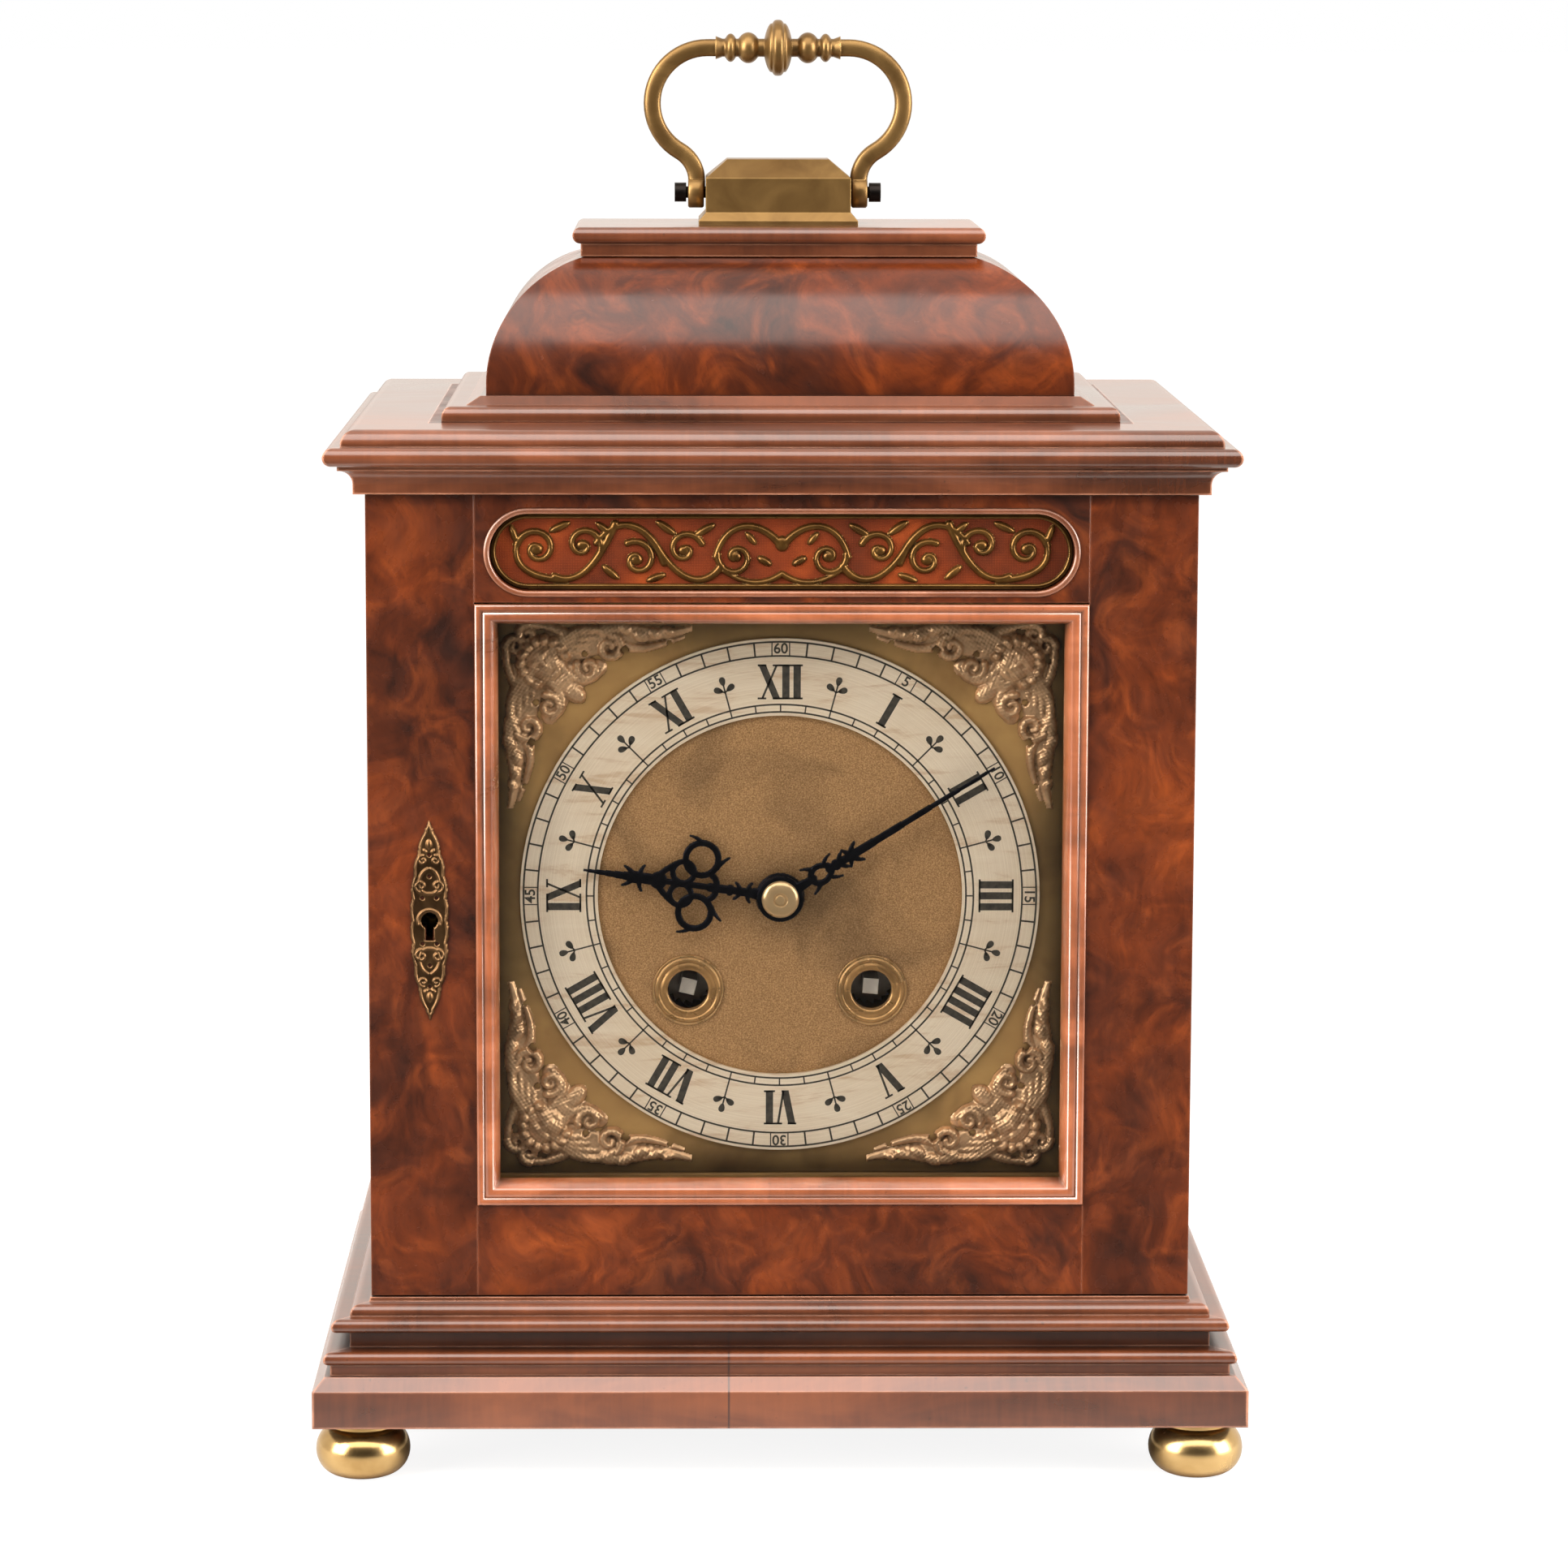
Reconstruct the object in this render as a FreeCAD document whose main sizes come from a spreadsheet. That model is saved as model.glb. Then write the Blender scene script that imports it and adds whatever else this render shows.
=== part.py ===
import FreeCAD, Part
import math
import os
import re
import Sketcher

# Bracket clock: walnut case on bun feet, hinged front and rear doors, brass dial, spring driven
# movement with short pendulum, coil gong and carrying handle.
# X to the right, front towards -Y, Z up. The origin is on the ground under the middle of the case.

SIZES = [
    # case and its feet
    ("case_width", 219.0), ("case_depth", 160.0), ("case_height", 216.5), ("wall", 12.0),
    ("moulding_stock", 16.0), ("mitre_margin", 20.0),
    ("foot_height", 15.5), ("foot_dia", 25.3), ("foot_neck_dia", 19.0), ("foot_neck_height", 2.0),
    ("foot_inset", 12.7),
    # plinth: face, ogee, recess, bead and hollow, each with its reach beyond the case
    ("plinth_reach", 15.1), ("plinth_face", 10.0), ("plinth_ogee", 3.3), ("plinth_ogee_reach", 12.0),
    ("recess_reach", 10.5), ("recess_height", 2.9), ("plinth_bead", 1.75), ("hollow_reach", 5.5),
    ("hollow_height", 4.8),
    # moulding between plinth and case
    ("base_bead", 1.8), ("base_bead_reach", 8.4), ("base_fillet", 0.6), ("base_fillet_reach", 5.4),
    ("base_ovolo", 2.2), ("base_top_fillet", 0.6), ("base_top", 1.1),
    # cornice
    ("cornice_fillet_reach", 3.0), ("cornice_fillet", 2.7), ("cornice_cove", 3.8),
    ("cornice_step", 1.2), ("cornice_bead", 2.45), ("cornice_bead_reach", 7.95),
    ("cornice_quirk_reach", 6.0), ("cornice_quirk", 0.6), ("cornice_ovolo", 3.8),
    ("board_thickness", 10.0),
    # caddy top: half widths measured from its own middle, the depth being less by caddy_narrowing
    ("caddy_narrowing", 29.5), ("caddy_base_half", 90.3), ("caddy_base_face", 1.5),
    ("caddy_base_ovolo", 2.5), ("caddy_base_step_half", 84.0), ("caddy_base_height", 6.2),
    ("dome_half", 78.9), ("dome_foot", 2.8), ("dome_radius", 33.9), ("dome_height", 35.8),
    ("pad_neck_half", 54.0), ("pad_neck_height", 3.5), ("pad_edge", 2.25), ("pad_half", 56.2),
    # front door
    ("door_thickness", 15.0), ("door_gap", 0.4), ("door_back_gap", 0.3), ("stile_width", 28.5),
    ("bottom_rail_width", 25.6), ("top_rail_width", 28.5), ("joint_gap", 0.02),
    ("pivot_inset", 3.0), ("pivot_radius", 1.25), ("pivot_length", 1.8), ("pivot_clearance", 0.05),
    ("pivot_plate_thickness", 2.0), ("pivot_plate_length", 16.0), ("pivot_plate_width", 5.0),
    ("sight_width", 6.0), ("sight_depth", 6.5), ("sight_lip", 0.9), ("sight_bead", 1.3),
    ("glass_thickness", 2.0), ("glass_clearance", 0.4),
    ("slot_length", 154.0), ("slot_height", 20.4), ("slot_drop", 15.6), ("fret_thickness", 1.2),
    ("fret_setback", 2.2), ("fret_rim", 2.1), ("fret_bar", 1.5), ("fret_clearance", 0.15),
    ("silk_thickness", 0.8), ("silk_overlap", 4.0),
    ("keyhole_height", 102.5), ("keyhole_inset", 16.2), ("keyhole_radius", 2.3),
    ("keyhole_slot_width", 2.0), ("keyhole_slot_drop", 5.4),
    ("scutcheon_length", 53.7), ("scutcheon_width", 10.4), ("scutcheon_thickness", 1.0),
    ("scutcheon_waist", 8.4),
    ("lock_width", 13.0), ("lock_height", 30.0), ("lock_depth", 8.0), ("lock_edge_gap", 1.0),
    ("bolt_height", 8.0), ("bolt_thickness", 2.6), ("bolt_length", 11.0), ("bolt_clearance", 0.3),
    ("bolt_throw", 5.0),
    # rear door
    ("rear_thickness", 12.0), ("rear_inset", 2.0), ("rear_gap", 0.4), ("rear_stile", 22.0),
    ("rear_glass_depth", 5.0), ("rear_rebate", 3.0), ("knob_radius", 5.0), ("knob_length", 9.0),
    # handle
    ("handle_flange_width", 43.7), ("handle_flange_height", 3.4), ("handle_block_width", 39.8),
    ("handle_block_height", 12.8), ("handle_cap_width", 28.0), ("handle_cap_height", 5.0),
    ("handle_base_depth", 24.0), ("handle_pivot_height", 8.5), ("handle_boss_radius", 4.3),
    ("handle_boss_width", 4.6), ("handle_side_gap", 0.4), ("handle_screw_radius", 1.6),
    ("handle_head_radius", 2.65), ("handle_head_length", 3.2), ("handle_screw_depth", 9.0),
    ("bow_radius", 15.2), ("bow_centre", 19.5), ("bow_rise", 24.5), ("bow_turn", 60.0),
    ("bow_thickness", 4.5), ("bow_foot", 22.4), ("knob_half_width", 3.6), ("handle_knob_radius", 7.7),
    ("handle_ball_radius", 4.2), ("handle_ball_place", 8.6), ("handle_ball_width", 5.2), ("handle_collar_radius", 3.6),
    ("handle_collar_place", 14.4), ("handle_collar_width", 2.2), ("handle_neck_radius", 2.2),
    ("handle_grip_end", 17.2),
    # dial
    ("dial_height", 106.2), ("dial_size", 152.4), ("dial_setback", 17.0), ("dial_thickness", 2.5),
    ("dial_fit", 0.3), ("mask_thickness", 6.0), ("ring_outer", 69.85), ("ring_inner", 49.0),
    ("ring_thickness", 1.3), ("winding_x", 24.7), ("winding_drop", 26.0), ("winding_hole", 5.5),
    ("collar_radius", 9.7), ("collar_thickness", 0.9), ("dial_foot_radius", 2.5),
    ("dial_foot_x", 46.0), ("dial_foot_z", 52.0), ("spandrel_leg", 49.0), ("scroll_share", 0.64),
    ("spandrel_thickness", 1.6), ("spandrel_edge", 3.2), ("spandrel_head", 5.4),
    # hands, with their angles clockwise from twelve
    ("hour_hand_length", 53.0), ("hour_hand_angle", 278.0), ("minute_hand_length", 67.0),
    ("minute_hand_angle", 58.2), ("hand_thickness", 1.0), ("hour_hand_lift", 1.6),
    ("minute_hand_lift", 1.4), ("hand_boss", 4.6), ("hour_loop_radius", 4.6), ("hour_loop_place", 24.5),
    ("hour_loop_spread", 6.6), ("hand_wire", 1.3), ("minute_loop_radius", 2.7),
    ("minute_loop_place", 12.6), ("collet_radius", 5.0), ("collet_height", 1.7),
    # movement
    ("motion_space", 14.5), ("plate_thickness", 2.5), ("plate_spacing", 45.0), ("plate_width", 114.0),
    ("plate_height", 118.0), ("plate_drop", 60.0), ("pillar_radius", 4.0), ("pillar_inset", 7.0),
    ("pivot_hole", 0.85), ("train_pivot", 0.8), ("train_arbor", 1.1), ("end_shake", 0.3),
    ("centre_arbor", 1.5), ("cannon_radius", 2.2), ("hour_pipe_radius", 3.0), ("running_fit", 0.05),
    ("dial_centre_hole", 3.4), ("great_radius", 23.1), ("great_teeth", 60), ("great_level", 30.0),
    ("great_thickness", 2.5), ("barrel_radius", 21.0), ("barrel_level", 12.0),
    ("barrel_length", 18.0), ("winding_arbor", 3.0), ("winding_square", 4.2),
    ("winding_square_depth", 2.5), ("winding_square_length", 11.0),
    ("first_pinion_teeth", 8), ("intermediate_teeth", 50), ("intermediate_radius", 18.0),
    ("intermediate_level", 38.0), ("centre_pinion_teeth", 7), ("wheel_thickness", 1.8),
    ("centre_wheel_teeth", 80), ("centre_third_distance", 17.0), ("third_pinion_teeth", 7),
    ("centre_wheel_level", 4.0), ("third_lean", 30.0), ("third_teeth", 66),
    ("third_escape_distance", 13.5), ("escape_pinion_teeth", 6), ("third_level", 16.0),
    ("escape_teeth", 40), ("escape_radius", 11.4), ("escape_level", 38.2),
    ("pin_wheel_teeth", 48), ("pin_wheel_radius", 14.0), ("pin_wheel_x", 36.0),
    ("pin_count", 8), ("pin_radius", 0.6), ("pin_circle", 11.0), ("pin_length", 3.0),
    ("motion_module", 0.7), ("cannon_teeth", 10), ("minute_wheel_teeth", 30),
    ("minute_pinion_teeth", 8), ("hour_wheel_teeth", 32), ("motion_thickness", 1.4),
    ("minute_wheel_level", 3.2), ("hour_wheel_level", 8.2), ("stud_radius", 1.2),
    ("rim_width", 2.2), ("spoke_width", 1.8), ("hub_radius", 3.4),
    # pendulum, hammer, gong and seat
    ("pendulum_rise", 44.0), ("pendulum_length", 127.0), ("bob_radius", 16.0), ("bob_thickness", 8.0),
    ("rod_radius", 1.0), ("pendulum_plane", 10.0), ("cock_width", 16.0), ("cock_height", 9.0),
    ("hammer_rise", 22.0), ("hammer_head_radius", 3.2),
    ("hammer_head_length", 8.0), ("hammer_gap", 1.5),
    ("gong_plane", 36.0), ("gong_height", 62.0), ("gong_wire", 3.0), ("gong_pitch", 7.0),
    ("gong_first_radius", 12.0), ("gong_half_turns", 8), ("gong_stand_width", 10.0), ("gong_foot_width", 24.0), ("gong_foot_height", 4.0),
    ("seat_thickness", 9.0), ("seat_margin", 6.0),
]

doc = FreeCAD.newDocument("BracketClock")
sheet = doc.addObject("Spreadsheet::Sheet", "Sizes")
for row, (alias, value) in enumerate(SIZES, start=1):
    sheet.set("A%d" % row, alias.replace("_", " "))
    sheet.set("B%d" % row, repr(value))
    sheet.setAlias("B%d" % row, alias)
doc.recompute()
ALIASES = {alias for alias, value in SIZES}

NODES = []


def bound(expression):
    return re.sub(r"[a-z][a-z_0-9]*",
                  lambda m: "Sizes." + m.group(0) if m.group(0) in ALIASES else m.group(0), expression)


def num(expression):
    return float(sheet.evalExpression(bound(expression)))


def bind(obj, **sizes):
    for prop, expression in sizes.items():
        obj.setExpression(prop.replace("__", "."), bound(expression))


def place(obj, x="0", y="0", z="0"):
    bind(obj, Placement__Base__x=x, Placement__Base__y=y, Placement__Base__z=z)
    return obj


def node(obj, label):
    obj.Label = label
    NODES.append(obj)
    return obj


# ---- levels and planes that several pieces share ----

PLINTH_TOP = "(foot_height + plinth_face + plinth_ogee + recess_height + 2*plinth_bead + hollow_height)"
FLOOR = "(%s + 2*base_bead + base_fillet + base_ovolo + base_top)" % PLINTH_TOP
CASE_TOP = "(%s + case_height)" % FLOOR
CORNICE_TOP = ("(%s + cornice_fillet + cornice_cove + cornice_step + 2*cornice_bead + cornice_quirk"
               " + cornice_ovolo)") % CASE_TOP
DOME_BOTTOM = "(%s + caddy_base_height)" % CORNICE_TOP
DOME_TOP = "(%s + dome_height)" % DOME_BOTTOM
PAD_TOP = "(%s + pad_neck_height + 2*pad_edge)" % DOME_TOP
PIVOT_Z = "(%s + handle_pivot_height)" % PAD_TOP
DIAL_Z = "(%s + dial_height)" % FLOOR
DOOR_FACE = "(-case_depth/2)"
DOOR_BACK = "(-case_depth/2 + door_thickness)"
CARCASE_FRONT = "(%s + door_back_gap)" % DOOR_BACK
DIAL_FRONT = "(-case_depth/2 + dial_setback)"
DIAL_BACK = "(%s + dial_thickness)" % DIAL_FRONT
PLATE_FRONT = "(%s + motion_space)" % DIAL_BACK
TRAIN_FRONT = "(%s + plate_thickness)" % PLATE_FRONT
TRAIN_BACK = "(%s + plate_spacing)" % TRAIN_FRONT
MOVEMENT_BACK = "(%s + plate_thickness)" % TRAIN_BACK
INNER_X = "(case_width/2 - wall)"
INNER_Y = "(case_depth/2 - moulding_stock)"
DOOR_BOTTOM = "(%s + door_gap)" % FLOOR
DOOR_TOP = "(%s - door_gap)" % CASE_TOP
SIGHT_HALF = "(case_width/2 - stile_width)"


# ---- small makers ----

def draw(sk, steps):
    # each step is (x, y), reached by a line, or (x, y, centre x, centre y, way), reached by an arc
    # that runs anticlockwise for way 1; the first step closes the outline
    points = [(num(step[0]), num(step[1])) for step in steps]
    ends = []
    for i, step in enumerate(steps):
        (x0, y0), (x1, y1) = points[i - 1], points[i]
        if len(step) == 2:
            line = Part.LineSegment(FreeCAD.Vector(x0, y0, 0), FreeCAD.Vector(x1, y1, 0))
            ends.append((sk.addGeometry(line, False), 1, 2))
        else:
            cx, cy, way = num(step[2]), num(step[3]), step[4]
            radius = math.hypot(x0 - cx, y0 - cy)
            angles = [math.atan2(y0 - cy, x0 - cx), math.atan2(y1 - cy, x1 - cx)][::way]
            circle = Part.Circle(FreeCAD.Vector(cx, cy, 0), FreeCAD.Vector(0, 0, 1), radius)
            arc = Part.ArcOfCircle(circle, angles[0], angles[1])
            ends.append((sk.addGeometry(arc, False),) + ((1, 2) if way == 1 else (2, 1)))
    for i, (geometry, start, end) in enumerate(ends):
        follower = ends[(i + 1) % len(ends)]
        sk.addConstraint(Sketcher.Constraint("Coincident", geometry, end, follower[0], follower[1]))
    for i, step in enumerate(steps):
        geometry, start, end = ends[i]
        wanted = [("DistanceX", end, step[0]), ("DistanceY", end, step[1])]
        if len(step) > 2:
            across = abs(points[i][0] - num(step[2])) < abs(points[i][1] - num(step[3]))
            wanted = [wanted[0] if across else wanted[1]]
            wanted += [("DistanceX", 3, step[2]), ("DistanceY", 3, step[3])]
        for kind, vertex, expression in wanted:
            fix(sk, Sketcher.Constraint(kind, -1, 1, geometry, vertex, num(expression)), expression)


def fix(sk, constraint, expression):
    index = sk.addConstraint(constraint)
    sk.setExpression("Constraints[%d]" % index, bound(expression))


def draw_circle(sk, x, y, radius):
    circle = Part.Circle(FreeCAD.Vector(num(x), num(y), 0), FreeCAD.Vector(0, 0, 1), num(radius))
    geometry = sk.addGeometry(circle, False)
    fix(sk, Sketcher.Constraint("DistanceX", -1, 1, geometry, 3, num(x)), x)
    fix(sk, Sketcher.Constraint("DistanceY", -1, 1, geometry, 3, num(y)), y)
    fix(sk, Sketcher.Constraint("Radius", geometry, num(radius)), radius)


def new_body(name, plane, offset="0"):
    body = doc.addObject("PartDesign::Body", name)
    support = [f for f in body.Origin.OriginFeatures if f.Role == plane + "_Plane"][0]
    sk = body.newObject("Sketcher::SketchObject", name + "_outline")
    sk.AttachmentSupport = [(support, "")]
    sk.MapMode = "FlatFace"
    bind(sk, AttachmentOffset__Base__z=offset)
    return body, sk


def prism(name, plane, steps, low, length, circles=(), loops=()):
    # outline in the plane, filled from the coordinate low over the length along the third axis
    body, sk = new_body(name, plane, "-(%s)" % low if plane == "XZ" else low)
    if steps:
        draw(sk, steps)
    for circle in circles:
        draw_circle(sk, *circle)
    for loop in loops:
        draw(sk, loop)
    pad = body.newObject("PartDesign::Pad", name + "_pad")
    pad.Profile = sk
    pad.Reversed = plane == "XZ"
    bind(pad, Length=length)
    return body


def turned(name, plane, steps):
    # half section of a turned piece, about the sketch's upright axis
    body, sk = new_body(name, plane)
    draw(sk, steps)
    spin = body.newObject("PartDesign::Revolution", name + "_turning")
    spin.Profile = sk
    spin.ReferenceAxis = (sk, ["V_Axis"])
    spin.Angle = 360
    return body


def rectangle(x0, y0, x1, y1):
    return [(x0, y0), (x1, y0), (x1, y1), (x0, y1)]


def block(name, x, y, z, length, width, height):
    box = doc.addObject("Part::Box", name)
    bind(box, Length=length, Width=width, Height=height)
    return place(box, x, y, z)


TURN_TO = {"x": FreeCAD.Rotation(FreeCAD.Vector(0, 1, 0), 90),
           "y": FreeCAD.Rotation(FreeCAD.Vector(1, 0, 0), -90), "z": FreeCAD.Rotation()}


def rod(name, axis, x, y, z, radius, length):
    cylinder = doc.addObject("Part::Cylinder", name)
    bind(cylinder, Radius=radius, Height=length)
    cylinder.Placement.Rotation = TURN_TO[axis]
    return place(cylinder, x, y, z)


def cut(name, base, *tools):
    result = doc.addObject("Part::Cut", name)
    result.Base = base
    result.Tool = tools[0] if len(tools) == 1 else join(name + "_tools", *tools)
    return result


def join(name, *pieces):
    result = doc.addObject("Part::MultiFuse", name)
    result.Shapes = list(pieces)
    return result


def common(name, first, second):
    result = doc.addObject("Part::MultiCommon", name)
    result.Shapes = [first, second]
    return result


def group(name, pieces):
    result = doc.addObject("Part::Compound", name)
    result.Links = list(pieces)
    return result


def solid(name, shape):
    result = doc.addObject("Part::Feature", name)
    result.Shape = shape
    return result


# ---- mouldings ----

def side_outline(half, steps, sign):
    # a moulding section: reach u beyond the half width and height z, on one side of the case
    drawn = []
    for step in steps:
        drawn.append(tuple("%s(%s + %s)" % (sign, half, e) if k in (0, 2) else e
                           for k, e in enumerate(step[:4])))
        if len(step) > 4:
            drawn[-1] += (step[4] if sign == "" else -step[4],)
    return drawn


def mitred_ring(name, half_x, half_y, steps, low, height, stock):
    # four mitred lengths of one moulding round a rectangle
    lengths = []
    for side, plane, half, other in (("front", "YZ", half_y, half_x), ("right", "XZ", half_x, half_y)):
        sign = "-" if side == "front" else ""
        outer, inner = "(%s + mitre_margin)" % other, "(%s - %s)" % (other, stock)
        far, near = "%s(%s + mitre_margin)" % (sign, half), "%s(%s - %s)" % (sign, half, stock)
        plan = [("-" + outer, far), (outer, far), (inner, near), ("-" + inner, near)]
        if side == "right":
            plan = [(y, x) for x, y in plan]
        for turn in (0, 180):
            label = "%s_%s_%d" % (name, side, turn)
            run = prism(label + "_run", plane, side_outline(half, steps, sign), "-" + outer, "2*" + outer)
            wedge = prism(label + "_mitre", "XY", plan, low, height)
            length = common(label, run, wedge)
            length.Placement = FreeCAD.Placement(FreeCAD.Vector(),
                                                 FreeCAD.Rotation(FreeCAD.Vector(0, 0, 1), turn))
            lengths.append(length)
    return group(name, lengths)


def both_sides(steps, narrowing):
    # the right side's outline from bottom to top, then the left side's back down
    right = [tuple("(%s - %s)" % (e, narrowing) if k in (0, 2) else e for k, e in enumerate(step))
             for step in steps]
    left = [("-" + right[-1][0], right[-1][1])]
    for i in range(len(right) - 2, -1, -1):
        step = ("-" + right[i][0], right[i][1])
        if len(right[i + 1]) > 2:
            step += ("-" + right[i + 1][2], right[i + 1][3], right[i + 1][4])
        left.append(step)
    return right + left


def mitred_block(name, steps, reach):
    # a solid board with the same moulded edge all round
    wide = prism(name + "_width", "XZ", both_sides(steps, "0"), "-%s" % reach, "2*%s" % reach)
    deep = prism(name + "_depth", "YZ", both_sides(steps, "caddy_narrowing"), "-%s" % reach, "2*%s" % reach)
    return common(name, wide, deep)


def plinth_section():
    z0 = "foot_height"
    z1 = "(%s + plinth_face)" % z0
    z2 = "(%s + plinth_ogee)" % z1
    z3 = "(%s + recess_height)" % z2
    z4 = "(%s + 2*plinth_bead)" % z3
    return [("(-moulding_stock)", PLINTH_TOP), ("(-moulding_stock)", z0), ("plinth_reach", z0),
            ("plinth_reach", z1), ("plinth_ogee_reach", z2), ("recess_reach", z2),
            ("recess_reach", z3), ("recess_reach", z4, "recess_reach", z3 + " + plinth_bead", 1),
            ("hollow_reach", z4), ("hollow_reach", PLINTH_TOP)]


def base_section():
    z0 = PLINTH_TOP
    z1 = "(%s + 2*base_bead)" % z0
    z2 = "(%s + base_fillet)" % z1
    z3 = "(%s + base_ovolo)" % z2
    inner = "(base_fillet_reach - base_ovolo)"
    return [("(-moulding_stock)", FLOOR), ("(-moulding_stock)", z0), ("base_bead_reach", z0),
            ("base_bead_reach", z1, "base_bead_reach", z0 + " + base_bead", 1),
            ("base_fillet_reach", z1), ("base_fillet_reach", z2), (inner, z3, inner, z2, 1),
            ("base_top_fillet", z3), ("base_top_fillet/2", FLOOR)]


def cornice_section():
    z0 = CASE_TOP
    z1 = "(%s + cornice_fillet)" % z0
    z2 = "(%s + cornice_cove)" % z1
    z3 = "(%s + cornice_step)" % z2
    z4 = "(%s + 2*cornice_bead)" % z3
    z5 = "(%s + cornice_quirk)" % z4
    cove = "(cornice_fillet_reach + cornice_cove)"
    ovolo = "(cornice_quirk_reach - cornice_ovolo)"
    return [("(-moulding_stock)", CORNICE_TOP), ("(-moulding_stock)", z0), ("cornice_fillet_reach", z0),
            ("cornice_fillet_reach", z1), (cove, z2, cove, z1, -1), (cove, z3),
            ("cornice_bead_reach", z3), ("cornice_bead_reach", z4, "cornice_bead_reach",
                                         z3 + " + cornice_bead", 1),
            ("cornice_quirk_reach", z4), ("cornice_quirk_reach", z5), (ovolo, CORNICE_TOP, ovolo, z5, 1)]


# ---- case ----

def foot_section():
    # a flat sole, a half round belly and a short neck
    belly = "((foot_height - foot_neck_height)/2)"
    inner = "(foot_dia/2 - %s)" % belly
    top = "(foot_height - foot_neck_height)"
    belly_points = [("%s + %s*%.4f" % (inner, belly, math.sin(turn)), "%s*(1 - %.4f)" % (belly, math.cos(turn)))
                    for turn in [math.pi * k / 6 for k in range(7)]]
    return [("0", "0")] + belly_points + [("foot_neck_dia/2", top),
                                          ("foot_neck_dia/2", "foot_height"), ("0", "foot_height")]


def make_feet():
    feet = []
    for side in ("-", ""):
        for end in ("-", ""):
            foot = turned("foot%d" % len(feet), "XZ", foot_section())
            feet.append(place(foot, side + "(case_width/2 + plinth_reach - foot_inset)",
                              end + "(case_depth/2 + plinth_reach - foot_inset)"))
    node(group("feet", feet), "bun_feet")


# each door turns on two pins: the front door's at its right back edge, the rear door's at its left
FRONT_PIVOT = ("(case_width/2 - pivot_inset)", "(%s - pivot_inset)" % DOOR_BACK)
REAR_PIVOT = ("(rear_gap + rear_thickness/2 - %s)" % INNER_X, "(case_depth/2 - rear_inset - rear_thickness/2)")
PLATE_ENDS = {"front": "(case_width/2 - pivot_plate_length - 0.5)", "rear": "(-%s + 0.5)" % INNER_X}


def plate_pockets(name, z, height):
    pockets = []
    for door, pivot in (("front", FRONT_PIVOT), ("rear", REAR_PIVOT)):
        pockets.append(block("%s_%s" % (name, door), PLATE_ENDS[door],
                             "%s - pivot_plate_width/2" % pivot[1], z,
                             "pivot_plate_length", "pivot_plate_width", height))
    return pockets


def make_mouldings():
    top, bottom = "(%s - pivot_plate_thickness)" % FLOOR, CASE_TOP
    rings = [("plinth_moulding", plinth_section, "foot_height", "%s - foot_height" % PLINTH_TOP, None),
             ("base_moulding", base_section, PLINTH_TOP, "%s - %s" % (FLOOR, PLINTH_TOP), top),
             ("cornice_moulding", cornice_section, CASE_TOP, "%s - %s" % (CORNICE_TOP, CASE_TOP), bottom)]
    plates = []
    for label, section, low, height, pocket_z in rings:
        ring = mitred_ring(label + "_lengths", "(case_width/2)", "(case_depth/2)", section(), low, height,
                           "moulding_stock")
        if pocket_z:
            ring = cut(label + "_let_in", ring,
                       *plate_pockets(label + "_pocket", pocket_z, "pivot_plate_thickness"))
            for door, pivot in (("front", FRONT_PIVOT), ("rear", REAR_PIVOT)):
                name = "%s_plate_%s" % (label, door)
                plate = block(name, PLATE_ENDS[door], "%s - pivot_plate_width/2" % pivot[1], pocket_z,
                              "pivot_plate_length", "pivot_plate_width", "pivot_plate_thickness")
                hole = rod(name + "_hole", "z", pivot[0], pivot[1], pocket_z,
                           "pivot_radius + pivot_clearance", "pivot_plate_thickness")
                plates.append(cut(name + "_drilled", plate, hole))
        node(ring, label)
    node(group("plates", plates), "door_pivot_plates")


def make_carcase():
    inner_x, inner_y = "(case_width/2 - moulding_stock)", INNER_Y
    for label, z in (("floor_board", "%s - board_thickness" % FLOOR),
                     ("top_board", "%s - board_thickness" % CORNICE_TOP)):
        node(block(label, "-" + inner_x, "-" + inner_y, z, "2*" + inner_x, "2*" + inner_y,
                   "board_thickness"), label)
    slot_z = "(%s + keyhole_height - bolt_height/2 - bolt_clearance)" % FLOOR
    depth = "(case_depth/2 - %s)" % CARCASE_FRONT
    for label, x in (("side_panel_left", "-case_width/2"), ("side_panel_right", INNER_X)):
        panel = block(label + "_board", x, CARCASE_FRONT, FLOOR, "wall", depth, "case_height")
        if label == "side_panel_left":
            slot = block("bolt_slot", "-%s - bolt_throw - 2*bolt_clearance" % INNER_X,
                         "%s - bolt_clearance" % BOLT_Y, slot_z, "bolt_throw + 2*bolt_clearance",
                         "bolt_thickness + 2*bolt_clearance", "bolt_height + 2*bolt_clearance")
            panel = cut(label + "_slotted", panel, slot)
        node(panel, label)


BOLT_Y = "(%s + lock_depth/2)" % DOOR_BACK
MASK_FRONT = "(%s + 0.4)" % CARCASE_FRONT


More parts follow.
